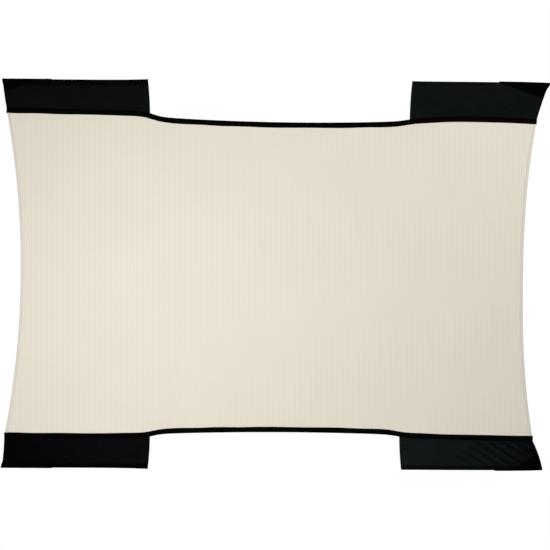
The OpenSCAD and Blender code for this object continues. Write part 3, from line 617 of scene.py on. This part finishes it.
def pocket_surface(corner, rows=53, columns=71):
    """Columns follow the closed edges from the inner end through the outer corner, which a parabola
    rounds, to the foot. Rows go back from the band (wall), over a quarter circle (shoulder), straight
    to the open edge (back), and over a half circle onto the outside (hem)."""
    side, up = CORNERS[corner]
    low, high = pocket_box[corner]
    v, u = np.meshgrid(np.linspace(0, 1, rows), np.linspace(0.006, 0.994, columns), indexing="ij")
    start = np.array([OUTER_X - PATCH_L, OUTER_H])
    point = np.array([OUTER_X, OUTER_H - 0.6 * TIP_DROP[corner]])
    foot = np.array([OUTER_X - POCKET_TALL * end_slope(corner), OUTER_H - POCKET_TALL])
    share = PATCH_L / (PATCH_L + POCKET_TALL)
    turned = np.clip(u - share + 0.06, 0, 0.12) ** 2 / 0.24 + np.maximum(u - share - 0.06, 0)
    edge = start + (point - start) * ((u - turned) / share)[..., None]
    edge = edge + (foot - point) * (turned / (1 - share))[..., None]
    inwards = start + (foot - start) * u[..., None] - edge
    span = np.linalg.norm(inwards, axis=-1)
    inwards = inwards / span[..., None]
    front, full = MIDDLE_Y - low.y, high.y - low.y + POCKET_T / 2
    deep = full * (0.1 + 0.9 * ease(u, 0.3) * ease(1 - u, 0.085))
    wall, turn, across, fold, over = (
        np.clip((v - first) / (last - first), 0, 1) for first, last in zip(POCKET_ROWS, POCKET_ROWS[1:])
    )
    bend = np.minimum(SHOULDER, 0.6 * np.minimum(span, deep))
    inset = np.minimum(POCKET_T, 0.3 * span)
    reach = inset + bend * (1 - np.cos(turn * np.pi / 2)) + (span - bend - inset) * across
    reach = reach - np.minimum(POCKET_HEM, 0.3 * span) * over + HEM_ROUND * np.sin(np.pi * fold)
    plane = edge + inwards * reach[..., None]
    depth = front - (deep - bend) * wall - bend * np.sin(turn * np.pi / 2)
    depth = depth - HEM_ROUND * (1 - np.cos(np.pi * fold))
    belly = 1.6 * MM * np.sin(np.pi * u) * np.sin(np.pi * across)
    belly -= 0.8 * MM * wall * np.sin(np.pi * u * 9) * (1 - across)
    uv = np.stack([u * (PATCH_L + POCKET_TALL), v * 0.09], axis=-1)
    return place(plane * np.array([side, up]), depth - np.maximum(belly, 0)), uv


pockets = {c: open_sheet("tip_pouch_", c, *pocket_surface(c), POCKET_T, 0) for c in CORNERS}
print("pockets:", [p.name for p in pockets.values()])

# %% [markdown]
# Stitches hold all of this together, and they are what the eye looks for on sewn goods seen close up.
# One stitch is a short thread with tapered ends. An Array modifier could repeat it along a curve, but
# moving one template to all the places at once is quick and keeps all rows of one thread in one mesh.

# %% One stitch in many places
STITCH_PITCH = 4.6 * MM
STITCH_L = 3.7 * MM
STITCH_R = 0.42 * MM
THREAD_SIDES = 6
FRONT, REAR = np.array([0.0, -1.0, 0.0]), np.array([0.0, 1.0, 0.0])


def spots_along(line, normal):
    """Centres, directions and normals of stitches, one to each pitch of a line's length."""
    at = np.concatenate([[0], np.cumsum(np.linalg.norm(np.diff(line, axis=0), axis=1))])
    centre = np.arange(STITCH_PITCH / 2, at[-1], STITCH_PITCH)
    ends = [np.stack([np.interp(centre + d, at, line[:, k]) for k in range(3)], axis=-1) for d in (-MM, MM)]
    along = ends[1] - ends[0]
    along /= np.linalg.norm(along, axis=1, keepdims=True)
    return (ends[0] + ends[1]) / 2, along, np.broadcast_to(normal, along.shape)


def stitch_mesh(name, rows):
    """Every stitch of several rows: a six-sided thread along its direction, whose radius drops to a
    third at both ends, where it goes down into the cloth."""
    centre, along, normal = (np.concatenate(part) for part in zip(*rows))
    across = np.cross(along, normal)
    place_on = np.array([-1, -0.72, 0, 0.72, 1]) * STITCH_L / 2
    radius = np.array([0.3, 0.85, 1, 0.85, 0.3]) * STITCH_R
    sink = np.array([-0.8, 0, 0.25, 0, -0.8]) * STITCH_R
    angle = np.arange(THREAD_SIDES) * 2 * np.pi / THREAD_SIDES
    centre, along, across, normal = (a[:, None, None, :] for a in (centre, along, across, normal))
    ring = np.cos(angle)[:, None] * normal + np.sin(angle)[:, None] * across
    points = centre + along * place_on[:, None, None] + normal * sink[:, None, None]
    points = points + ring * radius[:, None, None]
    one = grid_faces(len(place_on), THREAD_SIDES, closed=True)
    cap = np.arange(THREAD_SIDES)
    step = len(place_on) * THREAD_SIDES
    first = np.arange(len(centre))[:, None, None] * step
    quads = (first + one).reshape(-1, 4)
    lids = [(first + c).reshape(-1, THREAD_SIDES) for c in (cap[::-1], cap + step - THREAD_SIDES)]
    return make_piece(name, points, [quads, *lids])


print("a stitch every", STITCH_PITCH / MM, "mm")

# %% [markdown]
# The rows lie where such goods are sewn: on both sides of the tapes and hems, round each band in its
# pressed channel, beside the slanted edge of a patch and on the hem of a pocket. Each row is read off the
# surface that it holds down, so no thread floats or sinks.

# %% Rows of stitches
TAPE_DEPTH, HEM_DEPTH = 1.15 * MM, 0.88 * MM
STITCH_FROM = 0.019


def edge_rows(path, inwards, half):
    """Front and rear rows of stitches a given way in from a taped edge."""
    plane = path + edge_frame(path) * inwards
    return [spots_along(place(plane, d), n) for d, n in ((half, FRONT), (-half, REAR))]


def band_rows(corner):
    """Rows along a band's outer edge and both ends, in the channel, on its front and its rear."""
    tall = OUTER_H - SEAM_HIGH[corner][0]
    inset_s, inset_t = BAND_CHANNEL / (OUTER_X - BAND_IN[corner]), OUTER_HEM[corner] / tall
    seam_t = BAND_CHANNEL / tall
    u = np.linspace(0, 1, 90)
    lines = [(inset_s + 0 * u, 0.04 + u * (1 - inset_t - 0.04))]
    lines += [(inset_s + u * (1 - 2 * inset_s), 1 - inset_t + 0 * u)]
    lines += [(1 - inset_s + 0 * u, 0.04 + u * (1 - inset_t - 0.04))]
    lines += [(inset_s + u * (1 - 2 * inset_s), seam_t + 0 * u)]
    rows = []
    for s, t in lines:
        plane = band_plane(corner, s, t)
        for depth, normal in zip(band_faces(corner, s, t, plane), (FRONT, REAR)):
            rows.append(spots_along(place(plane, depth), normal))
    return rows


def patch_rows(corner):
    """One row near the slanted edge of a patch, on its outer face."""
    points = patch_surface(corner)[0]
    return [spots_along(points[3, 2:-2] + FRONT * PATCH_T, FRONT)]


def pocket_rows(corner):
    """One row along the hem of a pocket's open edge."""
    points = pocket_surface(corner)[0]
    return [spots_along(points[-3, 6:-6] + REAR * POCKET_T / 2, REAR)]


along, up_side = np.linspace(0, 1, 400), np.linspace(STITCH_FROM, 1 - STITCH_FROM, 300)
tape_rows = [r for up in (1, -1) for r in edge_rows(long_edge(up, along), 0.7 * TAPE_W, TAPE_DEPTH)]
hem_rows = [r for e in (-1, 1) for r in edge_rows(side_edge(e, up_side), 0.7 * HEM_W, HEM_DEPTH)]
nylon_rows = [r for c in CORNERS for r in band_rows(c) + patch_rows(c) + pocket_rows(c)]
tape_stitches = stitch_mesh("tape_stitching", tape_rows)
hem_stitches = stitch_mesh("hem_stitching", hem_rows)
nylon_stitches = stitch_mesh("band_stitching", nylon_rows)
print("stitches:", [sum(len(r[0]) for r in rows) for rows in (tape_rows, hem_rows, nylon_rows)])

# %% [markdown]
# The thumbscrew's shank shows for a few millimetres between the receiver's boss and the grip. CAD keeps
# it plain, so its thread is added here, as a ridge swept along a helix. Blender's Screw modifier could
# make it too, but a formula lets the thread run out into the shank at both ends, as a cut thread does.

# %% Screw thread
THREAD_PITCH = 1.25 * MM
THREAD_RISE = 0.45 * MM


def screw_thread(name, start, stop, middle, radius):
    """A three-cornered ridge round y: the angle grows by one turn for each pitch along y. The crest rises
    out of the shank over the first fifth of the way and sinks back over the last."""
    share = np.linspace(0, 1, 91)[:, None]
    y = start + THREAD_PITCH / 2 + (stop - start - THREAD_PITCH) * share
    angle = 2 * np.pi * y / THREAD_PITCH
    crest = THREAD_RISE * ease(share, 0.2) * ease(1 - share, 0.2)
    lift = np.array([0, 1, 0, 0]) * crest + np.array([-0.1, 0.02, -0.1, -0.4]) * MM
    shift = np.array([-0.4, 0, 0.4, 0]) * THREAD_PITCH
    reach = radius + lift
    rings = np.stack([reach * np.cos(angle), y + shift, middle + reach * np.sin(angle)], axis=-1)
    return outwards(tube(name, rings, np.stack([angle * reach, y + shift], axis=-1)))


shank_low, shank_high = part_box("stand_thumbscrew")
boss_end, grip_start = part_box("stand_receiver")[1].y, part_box("thumbscrew_grip")[0].y
screw_ridge = screw_thread(
    "thumbscrew_thread",
    boss_end + 0.2 * MM,
    grip_start - 0.2 * MM,
    (shank_low.z + shank_high.z) / 2,
    (shank_high.z - shank_low.z) / 2,
)
print("thread from", boss_end, "to", grip_start, "m behind the bore")

# %% [markdown]
# Finishes are procedural: each is one Principled shader fed by a small net of nodes. Numbers that are
# the same all over go straight on the shader's sockets, and only what varies is linked. Cloth patterns
# read the piece's own UV map, which is in metres, so a thread keeps its width and moves with the cloth.


# %% Node helpers
def srgb(red, green, blue):
    """The linear colour, with alpha, of values from 0 to 255 as a screen shows them."""
    value = np.array([red, green, blue]) / 255
    linear = np.where(value <= 0.04045, value / 12.92, ((value + 0.055) / 1.055) ** 2.4)
    return (*linear.tolist(), 1.0)


def finish(name, colour, roughness, **sockets):
    """A new material whose Principled shader has these constant values on its own sockets."""
    material = bpy.data.materials.new(name)
    material.use_nodes = True
    shader = material.node_tree.nodes["Principled BSDF"]
    shader.inputs["Base Color"].default_value = colour
    shader.inputs["Roughness"].default_value = roughness
    for socket, value in sockets.items():
        shader.inputs[socket.replace("_", " ")].default_value = value
    return material, material.node_tree, shader


def add(tree, kind, *inputs, output=0, **settings):
    """A new node with its settings and, in order, its inputs set or linked; gives one output."""
    made = tree.nodes.new(kind)
    for name, value in settings.items():
        setattr(made, name, value)
    for socket, value in zip(made.inputs, inputs):
        if isinstance(value, bpy.types.NodeSocket):
            tree.links.new(value, socket)
        elif value is not None:
            socket.default_value = value
    return made.outputs[output]


def maths(tree, operation, *values):
    """One Math node."""
    return add(tree, "ShaderNodeMath", *values, operation=operation)


def wave(tree, length, period, phase=0.0):
    """From 0 to 1 and back over each period of a length: half of one plus its sine."""
    turn = maths(tree, "MULTIPLY_ADD", length, 2 * np.pi / period, phase)
    return maths(tree, "MULTIPLY_ADD", maths(tree, "SINE", turn), 0.5, 0.5)


def cloud(tree, vector, scale, detail=3.0):
    """Soft noise from 0 to 1, with scale in spots to the metre."""
    return add(tree, "ShaderNodeTexNoise", vector, None, scale, detail)


def colour_by(tree, shader, share, first, second):
    """Links the base colour to a blend of two colours, by a share from 0 to 1."""
    made = tree.nodes.new("ShaderNodeMix")
    made.data_type = "RGBA"
    tree.links.new(share, made.inputs[0])
    made.inputs[6].default_value, made.inputs[7].default_value = first, second
    tree.links.new(made.outputs[2], shader.inputs["Base Color"])


def roughness_by(tree, shader, share, low, high):
    """Links the roughness to a number that goes from low to high as share goes from 0 to 1."""
    number = add(tree, "ShaderNodeMapRange", share, 0.0, 1.0, low, high)
    tree.links.new(number, shader.inputs["Roughness"])


def raise_surface(tree, shader, height, distance, strength=1.0):
    """Bump from a height of 0 to 1 that stands for a real distance."""
    made = tree.nodes.new("ShaderNodeBump")
    made.inputs["Strength"].default_value = strength
    made.inputs["Distance"].default_value = distance
    tree.links.new(height, made.inputs["Height"])
    tree.links.new(made.outputs["Normal"], shader.inputs["Normal"])


def cloth_map(tree):
    """The two lengths of the piece's own cloth map, in metres, and the map as a vector."""
    vector = add(tree, "ShaderNodeUVMap", uv_map="Cloth")
    split = add(tree, "ShaderNodeSeparateXYZ", vector)
    return split, split.node.outputs[1], vector


def object_map(tree):
    """The place of a point on the object, in metres."""
    return add(tree, "ShaderNodeTexCoord", output=3)


print("node helpers ready")

# %% [markdown]
# The screen's cream face is a fine ribbed weave: warp ribs a few millimetres apart run up the cloth,
# each a zigzag of small bright and dull threads. From a few metres only the ribs are left, as faint
# vertical lines. The rear face has the same ribs in a silver, metal-coated thread. A picture of cloth
# would blur close up; waves worked out from the map stay sharp.

# %% Finishes of the cloth
RIB = 5.25 * MM
WEFT = 1.3 * MM


def rib_net(tree, spots, detail):
    """Height of the ribbed weave from 0 to 1: a rib whose line zigzags with the weft, with the weft's own
    small waves on it. Gives the rib alone too, and a share of rib and clouds of wear for the colour."""
    u, v, vector = cloth_map(tree)
    sway = maths(tree, "MULTIPLY_ADD", wave(tree, v, 5.2 * MM), 0.9 * MM, u)
    rib = wave(tree, sway, RIB)
    height = maths(tree, "MULTIPLY_ADD", wave(tree, v, WEFT), 0.35, maths(tree, "MULTIPLY", rib, 0.65))
    pale_share = maths(tree, "MULTIPLY", cloud(tree, vector, spots, detail), 0.4)
    return height, rib, maths(tree, "MULTIPLY_ADD", rib, 0.6, pale_share)


def cream_face():
    """Cream warp ribs with a soft cloudiness from handling."""
    material, tree, shader = finish("cream_rib_cloth", srgb(233, 226, 210), 0.78, Specular_IOR_Level=0.2)
    shader.inputs["Sheen Weight"].default_value = 0.06
    height, rib, share = rib_net(tree, 7.0, 2.0)
    colour_by(tree, shader, share, srgb(226, 218, 200), srgb(240, 234, 220))
    roughness_by(tree, shader, rib, 0.84, 0.7)
    raise_surface(tree, shader, height, 0.12 * MM, 0.5)
    return material


def silver_face():
    """Metal-coated thread: bright on the ribs, duller in the grooves, with faint rubbed clouds."""
    material, tree, shader = finish("silver_rib_cloth", srgb(205, 207, 208), 0.42, Metallic=0.85)
    height, _, share = rib_net(tree, 11.0, 3.0)
    colour_by(tree, shader, share, srgb(188, 190, 192), srgb(216, 218, 219))
    roughness_by(tree, shader, share, 0.52, 0.34)
    raise_surface(tree, shader, height, 0.12 * MM, 0.45)
    return material


def plain_weave(tree, thread):
    """Two waves multiplied, one along each length of the cloth's map: a weave of threads that wide. Gives
    the map too."""
    u, v, vector = cloth_map(tree)
    return maths(tree, "MULTIPLY", wave(tree, u, thread), wave(tree, v, thread)), vector


def pale_hem():
    """The cloth's own colour, turned over and pressed: a little greyer, and closer woven."""
    material, tree, shader = finish("pale_hem_cloth", srgb(229, 222, 210), 0.8, Specular_IOR_Level=0.2)
    weave = plain_weave(tree, 1.1 * MM)[0]
    colour_by(tree, shader, weave, srgb(222, 215, 203), srgb(235, 229, 219))
    raise_surface(tree, shader, weave, 0.1 * MM, 0.6)
    return material


cream, silver, hem_cloth = cream_face(), silver_face(), pale_hem()
print("cloth finishes:", cream.name, silver.name, hem_cloth.name)

# %% [markdown]
# The black goods are nylon: a plain weave on the bands and pockets, a heavier one on the patches, and
# a corded tape on the long edges. Black cloth still shows its weave through small differences in gloss,
# so roughness varies more than colour does.

# %% Finishes of the black nylon
BLACK = srgb(5, 7, 8)


def nylon_cloth(name, thread, low, high, gloss, shine):
    """A plain weave of black thread with rubbed paler clouds. The mesh's own number of painted sheen and
    shade scales both, so where it paints shade the nylon stays as dark as the low colour."""
    material, tree, shader = finish(name, BLACK, gloss, Specular_IOR_Level=shine)
    weave, vector = plain_weave(tree, thread)
    rubbed = cloud(tree, vector, 26.0, 5.0)
    share = maths(tree, "MULTIPLY_ADD", weave, 0.4, maths(tree, "MULTIPLY_ADD", rubbed, 0.24, 0.18))
    # the mesh's painted sheen and shade, one number per point
    sheen_and_shade = add(tree, "ShaderNodeAttribute", output=2, attribute_name="sheen_and_shade")
    share = maths(tree, "MULTIPLY", share, sheen_and_shade)
    colour_by(tree, shader, share, low, high)
    roughness_by(tree, shader, share, gloss + 0.12, gloss - 0.1)
    raise_surface(tree, shader, weave, 0.12 * MM, 0.5)
    return material


def corded_tape():
    """Binding tape with cords across it: one wave along its length, pressed flat by noise."""
    material, tree, shader = finish("corded_black_tape", BLACK, 0.62, Specular_IOR_Level=0.006)
    u, _, vector = cloth_map(tree)
    cords = wave(tree, u, 1.5 * MM)
    share = maths(tree, "MULTIPLY_ADD", cords, 0.5, maths(tree, "MULTIPLY", cloud(tree, vector, 60.0), 0.5))
    colour_by(tree, shader, share, srgb(1, 1, 1), srgb(7, 6, 6))
    roughness_by(tree, shader, share, 0.7, 0.52)
    raise_surface(tree, shader, cords, 0.14 * MM, 0.5)
    return material


def thread(name, low, high):
    """Twisted sewing thread: fine slanting waves along it."""
    material, tree, shader = finish(name, high, 0.55, Specular_IOR_Level=0.03)
    split = add(tree, "ShaderNodeSeparateXYZ", object_map(tree))
    slant = maths(tree, "ADD", split, split.node.outputs[2])
    twist = wave(tree, slant, 0.9 * MM)
    colour_by(tree, shader, twist, low, high)
    raise_surface(tree, shader, twist, 0.08 * MM, 0.6)
    return material


nylon = nylon_cloth("black_nylon_cloth", 0.8 * MM, srgb(1, 1, 1), srgb(27, 32, 33), 0.44, 0.006)
heavy_nylon = nylon_cloth("heavy_black_nylon", 1.2 * MM, srgb(0, 1, 1), srgb(4, 5, 5), 0.6, 0.005)
tape_cloth = corded_tape()
black_thread = thread("black_thread", srgb(3, 4, 5), srgb(15, 17, 19))
pale_thread = thread("pale_thread", srgb(205, 202, 194), srgb(236, 234, 229))
print("black finishes:", nylon.name, heavy_nylon.name, tape_cloth.name)

# %% [markdown]
# The hub, collars, tips, grips and receiver are moulded in black plastic. New, it would have an even grain;
# in use, hands polish it. Its edges are paler, partly from wear and partly as a painted highlight that
# shows their shape. A CAD node has no map of its own, so this finish reads Object coordinates, and the
# Bevel node finds the edges without a change to the mesh. The white bushes between the moving pieces are
# acetal.


# %% Finishes of the mouldings
def edge_wear_and_highlight(tree, radius, smooth):
    """From 0 on flat faces to 1 along sharp edges, for paler edges that are partly wear and partly a painted
    highlight: how far the Bevel node's rounded normal turns away from the true one, with noise so that
    the paleness comes and goes."""
    round_normal = add(tree, "ShaderNodeBevel", radius, samples=6)
    true_normal = add(tree, "ShaderNodeNewGeometry", output=1)
    same = add(tree, "ShaderNodeVectorMath", round_normal, true_normal, operation="DOT_PRODUCT", output=1)
    turned = add(tree, "ShaderNodeMapRange", same, 0.99, 0.8, 0.0, 1.0)
    return maths(tree, "MULTIPLY", turned, add(tree, "ShaderNodeMapRange", smooth, 0.4, 0.62, 0.1, 1.0))


def moulded_plastic():
    """Grained moulding: a leathery grain, larger patches that hands have polished, a few rubbed scuffs,
    and paler edges, partly wear and partly a painted highlight."""
    material, tree, shader = finish("moulded_black_plastic", srgb(24, 25, 27), 0.5, Specular_IOR_Level=0.32)
    spot = object_map(tree)
    grain = cloud(tree, spot, 1100.0, 3.0)
    handled = cloud(tree, spot, 38.0, 4.0)
    # paler edges: wear, and a painted highlight along them
    pale_share = edge_wear_and_highlight(tree, 1.1 * MM, cloud(tree, spot, 160.0, 4.0))
    scuffs = add(tree, "ShaderNodeMapRange", cloud(tree, spot, 240.0, 6.0), 0.6, 0.72, 0.0, 0.25)
    share = maths(tree, "MULTIPLY_ADD", handled, 0.3, maths(tree, "MAXIMUM", pale_share, scuffs))
    colour_by(tree, shader, share, srgb(11, 12, 13), srgb(74, 75, 77))
    roughness_by(tree, shader, handled, 0.72, 0.3)
    raise_surface(tree, shader, grain, 0.2 * MM, 0.6)
    return material


def acetal():
    """White bush material, faintly soiled."""
    material, tree, shader = finish("acetal_bush", srgb(226, 225, 216), 0.4, Specular_IOR_Level=0.45)
    stain = cloud(tree, object_map(tree), 120.0, 5.0)
    colour_by(tree, shader, stain, srgb(208, 205, 194), srgb(236, 235, 229))
    roughness_by(tree, shader, stain, 0.5, 0.32)
    return material


moulding, bush = moulded_plastic(), acetal()
print("moulded finishes:", moulding.name, bush.name)

# %% [markdown]
# The arms are satin aluminium tubes, with fine marks along them from sliding in and out. The marks are
# noise squeezed along the tube. Two arms rise to the right and two fall, so there are two finishes, each
# turned to its arms. Spindle, pins, bolt and thumbscrew are turned steel, with tool marks as rings round
# their axis, and the knob's insert is brass made the same way.


# %% Finishes of tubes and turned metal
def satin_tube(name, turn):
    """Satin aluminium: cloudy oxide, and fine marks drawn out along the tube by sliding. The coordinates
    are turned about y by the arm's angle, so that the marks run along it, and squeezed along it."""
    material, tree, shader = finish(name, srgb(172, 174, 178), 0.34, Metallic=1.0)
    spot = object_map(tree)
    oxide = cloud(tree, spot, 55.0, 4.0)
    drawn = add(tree, "ShaderNodeMapping", spot, None, (0.0, turn, 0.0), (1.0, 1.0, 1.0))
    drawn = add(tree, "ShaderNodeVectorMath", drawn, (0.025, 1.0, 1.0), operation="MULTIPLY")
    marks = cloud(tree, drawn, 1400.0, 2.0)
    share = maths(tree, "MULTIPLY_ADD", oxide, 0.5, maths(tree, "MULTIPLY", marks, 0.5))
    colour_by(tree, shader, share, srgb(138, 140, 145), srgb(200, 202, 206))
    roughness_by(tree, shader, share, 0.5, 0.2)
    raise_surface(tree, shader, marks, 0.03 * MM, 0.5)
    return material


def turned_metal(name, low, high, roughness, axis=1):
    """Turned metal: fine tool marks as rings round the axis, brighter on their crests, with a stain of
    noise."""
    material, tree, shader = finish(name, high, roughness, Metallic=1.0)
    spot = object_map(tree)
    split = add(tree, "ShaderNodeSeparateXYZ", spot)
    rings = wave(tree, split.node.outputs[axis], 0.45 * MM)
    stain = cloud(tree, spot, 140.0, 4.0)
    share = maths(tree, "MULTIPLY_ADD", rings, 0.4, maths(tree, "MULTIPLY", stain, 0.6))
    colour_by(tree, shader, share, low, high)
    roughness_by(tree, shader, stain, roughness + 0.1, roughness - 0.08)
    raise_surface(tree, shader, rings, 0.03 * MM, 0.5)
    return material


ARM_ANGLE = np.arctan2(OUTER_H, OUTER_X)
STEEL = srgb(132, 134, 138), srgb(200, 202, 206)
falling_tube = satin_tube("satin_tube_falling", -ARM_ANGLE)
rising_tube = satin_tube("satin_tube_rising", ARM_ANGLE)
steel = turned_metal("turned_steel", *STEEL, 0.3)
bolt_steel = turned_metal("bolt_steel", *STEEL, 0.3, axis=0)
brass = turned_metal("turned_brass", srgb(158, 124, 66), srgb(214, 182, 112), 0.3)
print("metal finishes:", falling_tube.name, rising_tube.name, steel.name, bolt_steel.name, brass.name)

# %% [markdown]
# The mechanism keeps its CAD meshes and only gets its finishes, node by node. A name that ends in an
# underscore stands for all four corners. The new thread takes the screw's steel and turns with it.

# %% Dress the mechanism
RIGID = {
    moulding: ("stand_receiver", "thumbscrew_grip", "hub_back_plate", "tilt_lever", "fold_knob",
               "hub_front_disc", "hub_rear_disc", "lock_collar_", "arm_tip_"),
    falling_tube: ("arm_tube_tl", "arm_tube_br", "arm_extension_tl", "arm_extension_br"),
    rising_tube: ("arm_tube_tr", "arm_tube_bl", "arm_extension_tr", "arm_extension_bl"),
    steel: ("hub_spindle", "stop_pin", "socket_pins_", "stand_thumbscrew"),
    bolt_steel: ("tilt_bolt",),
    bush: ("hub_washers", "tilt_washers", "collet_", "guide_plug_"),
    brass: ("knob_insert",),
}
dressed = []
for material, starts in RIGID.items():
    for name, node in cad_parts.items():
        if name.startswith(starts):
            node.data.materials.clear()
            node.data.materials.append(material)
            dressed.append(name)
screw_ridge.data.materials.append(steel)
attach(screw_ridge, "thumbscrew")
print("CAD nodes with a finish:", len(dressed))

# %% [markdown]
# Now each sewn piece gets its finish, stands for its CAD slab, and rides on the panel head.


def mount(piece, material, slot, *nodes):
    """Finish, replaced CAD nodes and body of one sewn piece; the slot argument is not used."""
    piece.data.materials.append(material)
    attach(piece, "panel_head")
    if nodes:
        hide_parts(*nodes)
    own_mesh(piece)
    return piece


mount(cloth, cream, "cream_cloth", "screen_cloth")
cloth.data.materials.append(silver)
faces = np.arange(len(cloth.data.polygons))
cloth.data.polygons.foreach_set("material_index", (faces >= len(faces) // 2).astype(np.int32))
mount(tapes[1], tape_cloth, "black_nylon", "top_binding")
mount(tapes[-1], tape_cloth, "black_nylon", "bottom_binding")
mount(hems[-1], hem_cloth, "hem_cloth", "left_hem")
mount(hems[1], hem_cloth, "hem_cloth", "right_hem")
for corner in CORNERS:
    mount(bands[corner], nylon, "black_nylon", "corner_band_" + corner)
    mount(patches[corner], heavy_nylon, "black_nylon", "corner_patch_" + corner)
    mount(pockets[corner], nylon, "black_nylon", "tip_pocket_" + corner)
mount(tape_stitches, black_thread, "black_nylon")
mount(nylon_stitches, black_thread, "black_nylon")
mount(hem_stitches, pale_thread, "hem_cloth")

# %% [markdown]
# Flat sizes: what each sheet was cut to before it was sewn and stretched. The cloth's cut is hollow on
# all four sides, so its area is worked out from its own outline by the shoelace formula.


def outline_area(points):
    """Shoelace formula: half the sum of the cross products of neighbouring outline points."""
    x, h = points[:, 0], points[:, 1]
    return float(abs((x * np.roll(h, -1) - h * np.roll(x, -1)).sum()) / 2)


def grid_outline(plane):
    """The border of a grid of (x, height) points, once round."""
    return np.concatenate([plane[0, :-1], plane[:-1, -1], plane[-1, :0:-1], plane[:0:-1, 0]])


def flat_size(plane):
    """Width, height and area of a flat cut."""
    outline = grid_outline(plane)
    size = outline.max(axis=0) - outline.min(axis=0)
    return (round(float(size[0]), 3), round(float(size[1]), 3)), round(outline_area(outline), 4)


size, area = flat_size(cloth_plane)
print("cloth cut:", size, area)
for corner in CORNERS:
    t, s = np.meshgrid(np.linspace(0, 1, 21), np.linspace(0, 1, 41), indexing="ij")
    size, area = flat_size(band_plane(corner, s, t))
    print("band", corner, "cut:", size, area)

# %% [markdown]
# The camera stands where the photograph's did: a long lens, a little above the middle and looking
# slightly down, so the top edge is a hair wider than the bottom, with a trace of roll. Its few numbers
# were fitted until the outlines of the bands and edges fell together.

# %% Camera
VIEW_WIDTH = 1.2647
LENS, SENSOR = 85.0, 36.0
PITCH, ROLL = np.radians(2.3), np.radians(0.35)
AIM = Vector((0.0016, MIDDLE_Y, MIDDLE_Z + 0.0023))
distance = VIEW_WIDTH * LENS / SENSOR
back = Vector((0, -np.cos(PITCH), np.sin(PITCH)))
camera = bpy.data.objects.new("camera", bpy.data.cameras.new("camera"))
camera.data.lens, camera.data.sensor_width = LENS, SENSOR
turn = (-back).to_track_quat("-Z", "Y").to_matrix() @ Matrix.Rotation(ROLL, 3, "Z")
camera.matrix_world = Matrix.Translation(AIM + back * distance) @ turn.to_4x4()
bpy.context.scene.collection.objects.link(camera)
bpy.context.scene.camera = camera
print("camera", distance, "m away")

# %% [markdown]
# Plain studio light: an even white surround, a large soft lamp at the front left and another high at
# the right, which leave the lower right of the screen a little darker, and one for the rear. The
# surround shows pure white to the camera and in reflections, and is weaker as a light, so that a
# colour renders about as it is written.

# %% Lamps and surround
SURROUND = 0.345


def lamp(name, spot, size, power):
    """A square area lamp at a spot, turned to the middle of the screen."""
    data = bpy.data.lights.new(name, "AREA")
    data.shape, data.size, data.energy = "SQUARE", size, power
    made = bpy.data.objects.new(name, data)
    made.location = spot
    made.visible_camera = False
    made.rotation_mode = "QUATERNION"
    made.rotation_quaternion = (Vector((0, MIDDLE_Y, MIDDLE_Z)) - Vector(spot)).to_track_quat("-Z", "Y")
    bpy.context.scene.collection.objects.link(made)
    return made


def seen_rays(tree):
    """1 for the rays that show a surface itself: from the camera, by reflection or through glass."""
    path = tree.nodes.new("ShaderNodeLightPath")
    seen = maths(tree, "MAXIMUM", path.outputs["Is Camera Ray"], path.outputs["Is Glossy Ray"])
    return maths(tree, "MAXIMUM", seen, path.outputs["Is Transmission Ray"])


lamp("key_lamp", (-0.4, -1.1, 0.05), 0.8, 7.0)
lamp("high_lamp", (1.16, -0.9, 1.17), 0.8, 9.5)
lamp("rear_lamp", (1.4, 2.0, 1.5), 1.2, 40)
world = bpy.data.worlds.new("studio")
bpy.context.scene.world = world
world.use_nodes = True
tree = world.node_tree
tree.nodes.clear()
plain = add(tree, "ShaderNodeBackground", (1, 1, 1, 1), SURROUND)
white = add(tree, "ShaderNodeBackground", (1, 1, 1, 1), 1.0)
surround = add(tree, "ShaderNodeMixShader", seen_rays(tree), plain, white)
tree.links.new(surround, tree.nodes.new("ShaderNodeOutputWorld").inputs["Surface"])

bpy.context.scene.view_settings.view_transform = "Standard"

# %% [markdown]
# The floor lies where a stand at its lowest setting would put it. Under the object it is a plain pale
# floor that takes the shadow; further off it fades to white, so no horizon shows. A plane would do, but
# a disc of rings that widen with their distance has no corners, and its faces stay well shaped.

# %% Floor
FLOOR_DROP = 0.95
FLOOR_RINGS, FLOOR_SIDES = 24, 96
angle = np.linspace(0, 2 * np.pi, FLOOR_SIDES + 1)[:-1]
rings = np.geomspace(0.3, 30, FLOOR_RINGS)[:, None]
around = [rings * np.cos(angle), rings * np.sin(angle), -FLOOR_DROP]
floor_points = np.stack(np.broadcast_arrays(*around), axis=-1)
quads = grid_faces(FLOOR_RINGS, FLOOR_SIDES, closed=True)[:, ::-1]
floor = make_piece("floor", floor_points, [quads, np.arange(FLOOR_SIDES)[None, :]])
material, tree, shader = finish("pale_floor", (0.9, 0.9, 0.9, 1), 0.9, Specular_IOR_Level=0.0)
far = add(tree, "ShaderNodeVectorMath", object_map(tree), operation="LENGTH", output=1)
fade = add(tree, "ShaderNodeMapRange", far, 0.9, 1.6, 0.0, 1.0)
glow = add(tree, "ShaderNodeEmission", (1, 1, 1, 1), 1.0)
share = maths(tree, "MULTIPLY", seen_rays(tree), fade)
mixed = add(tree, "ShaderNodeMixShader", share, shader.outputs[0], glow)
tree.links.new(mixed, tree.nodes["Material Output"].inputs["Surface"])
floor.data.materials.append(material)
print("floor at", -FLOOR_DROP)

# %% Finish
print("scene ready")
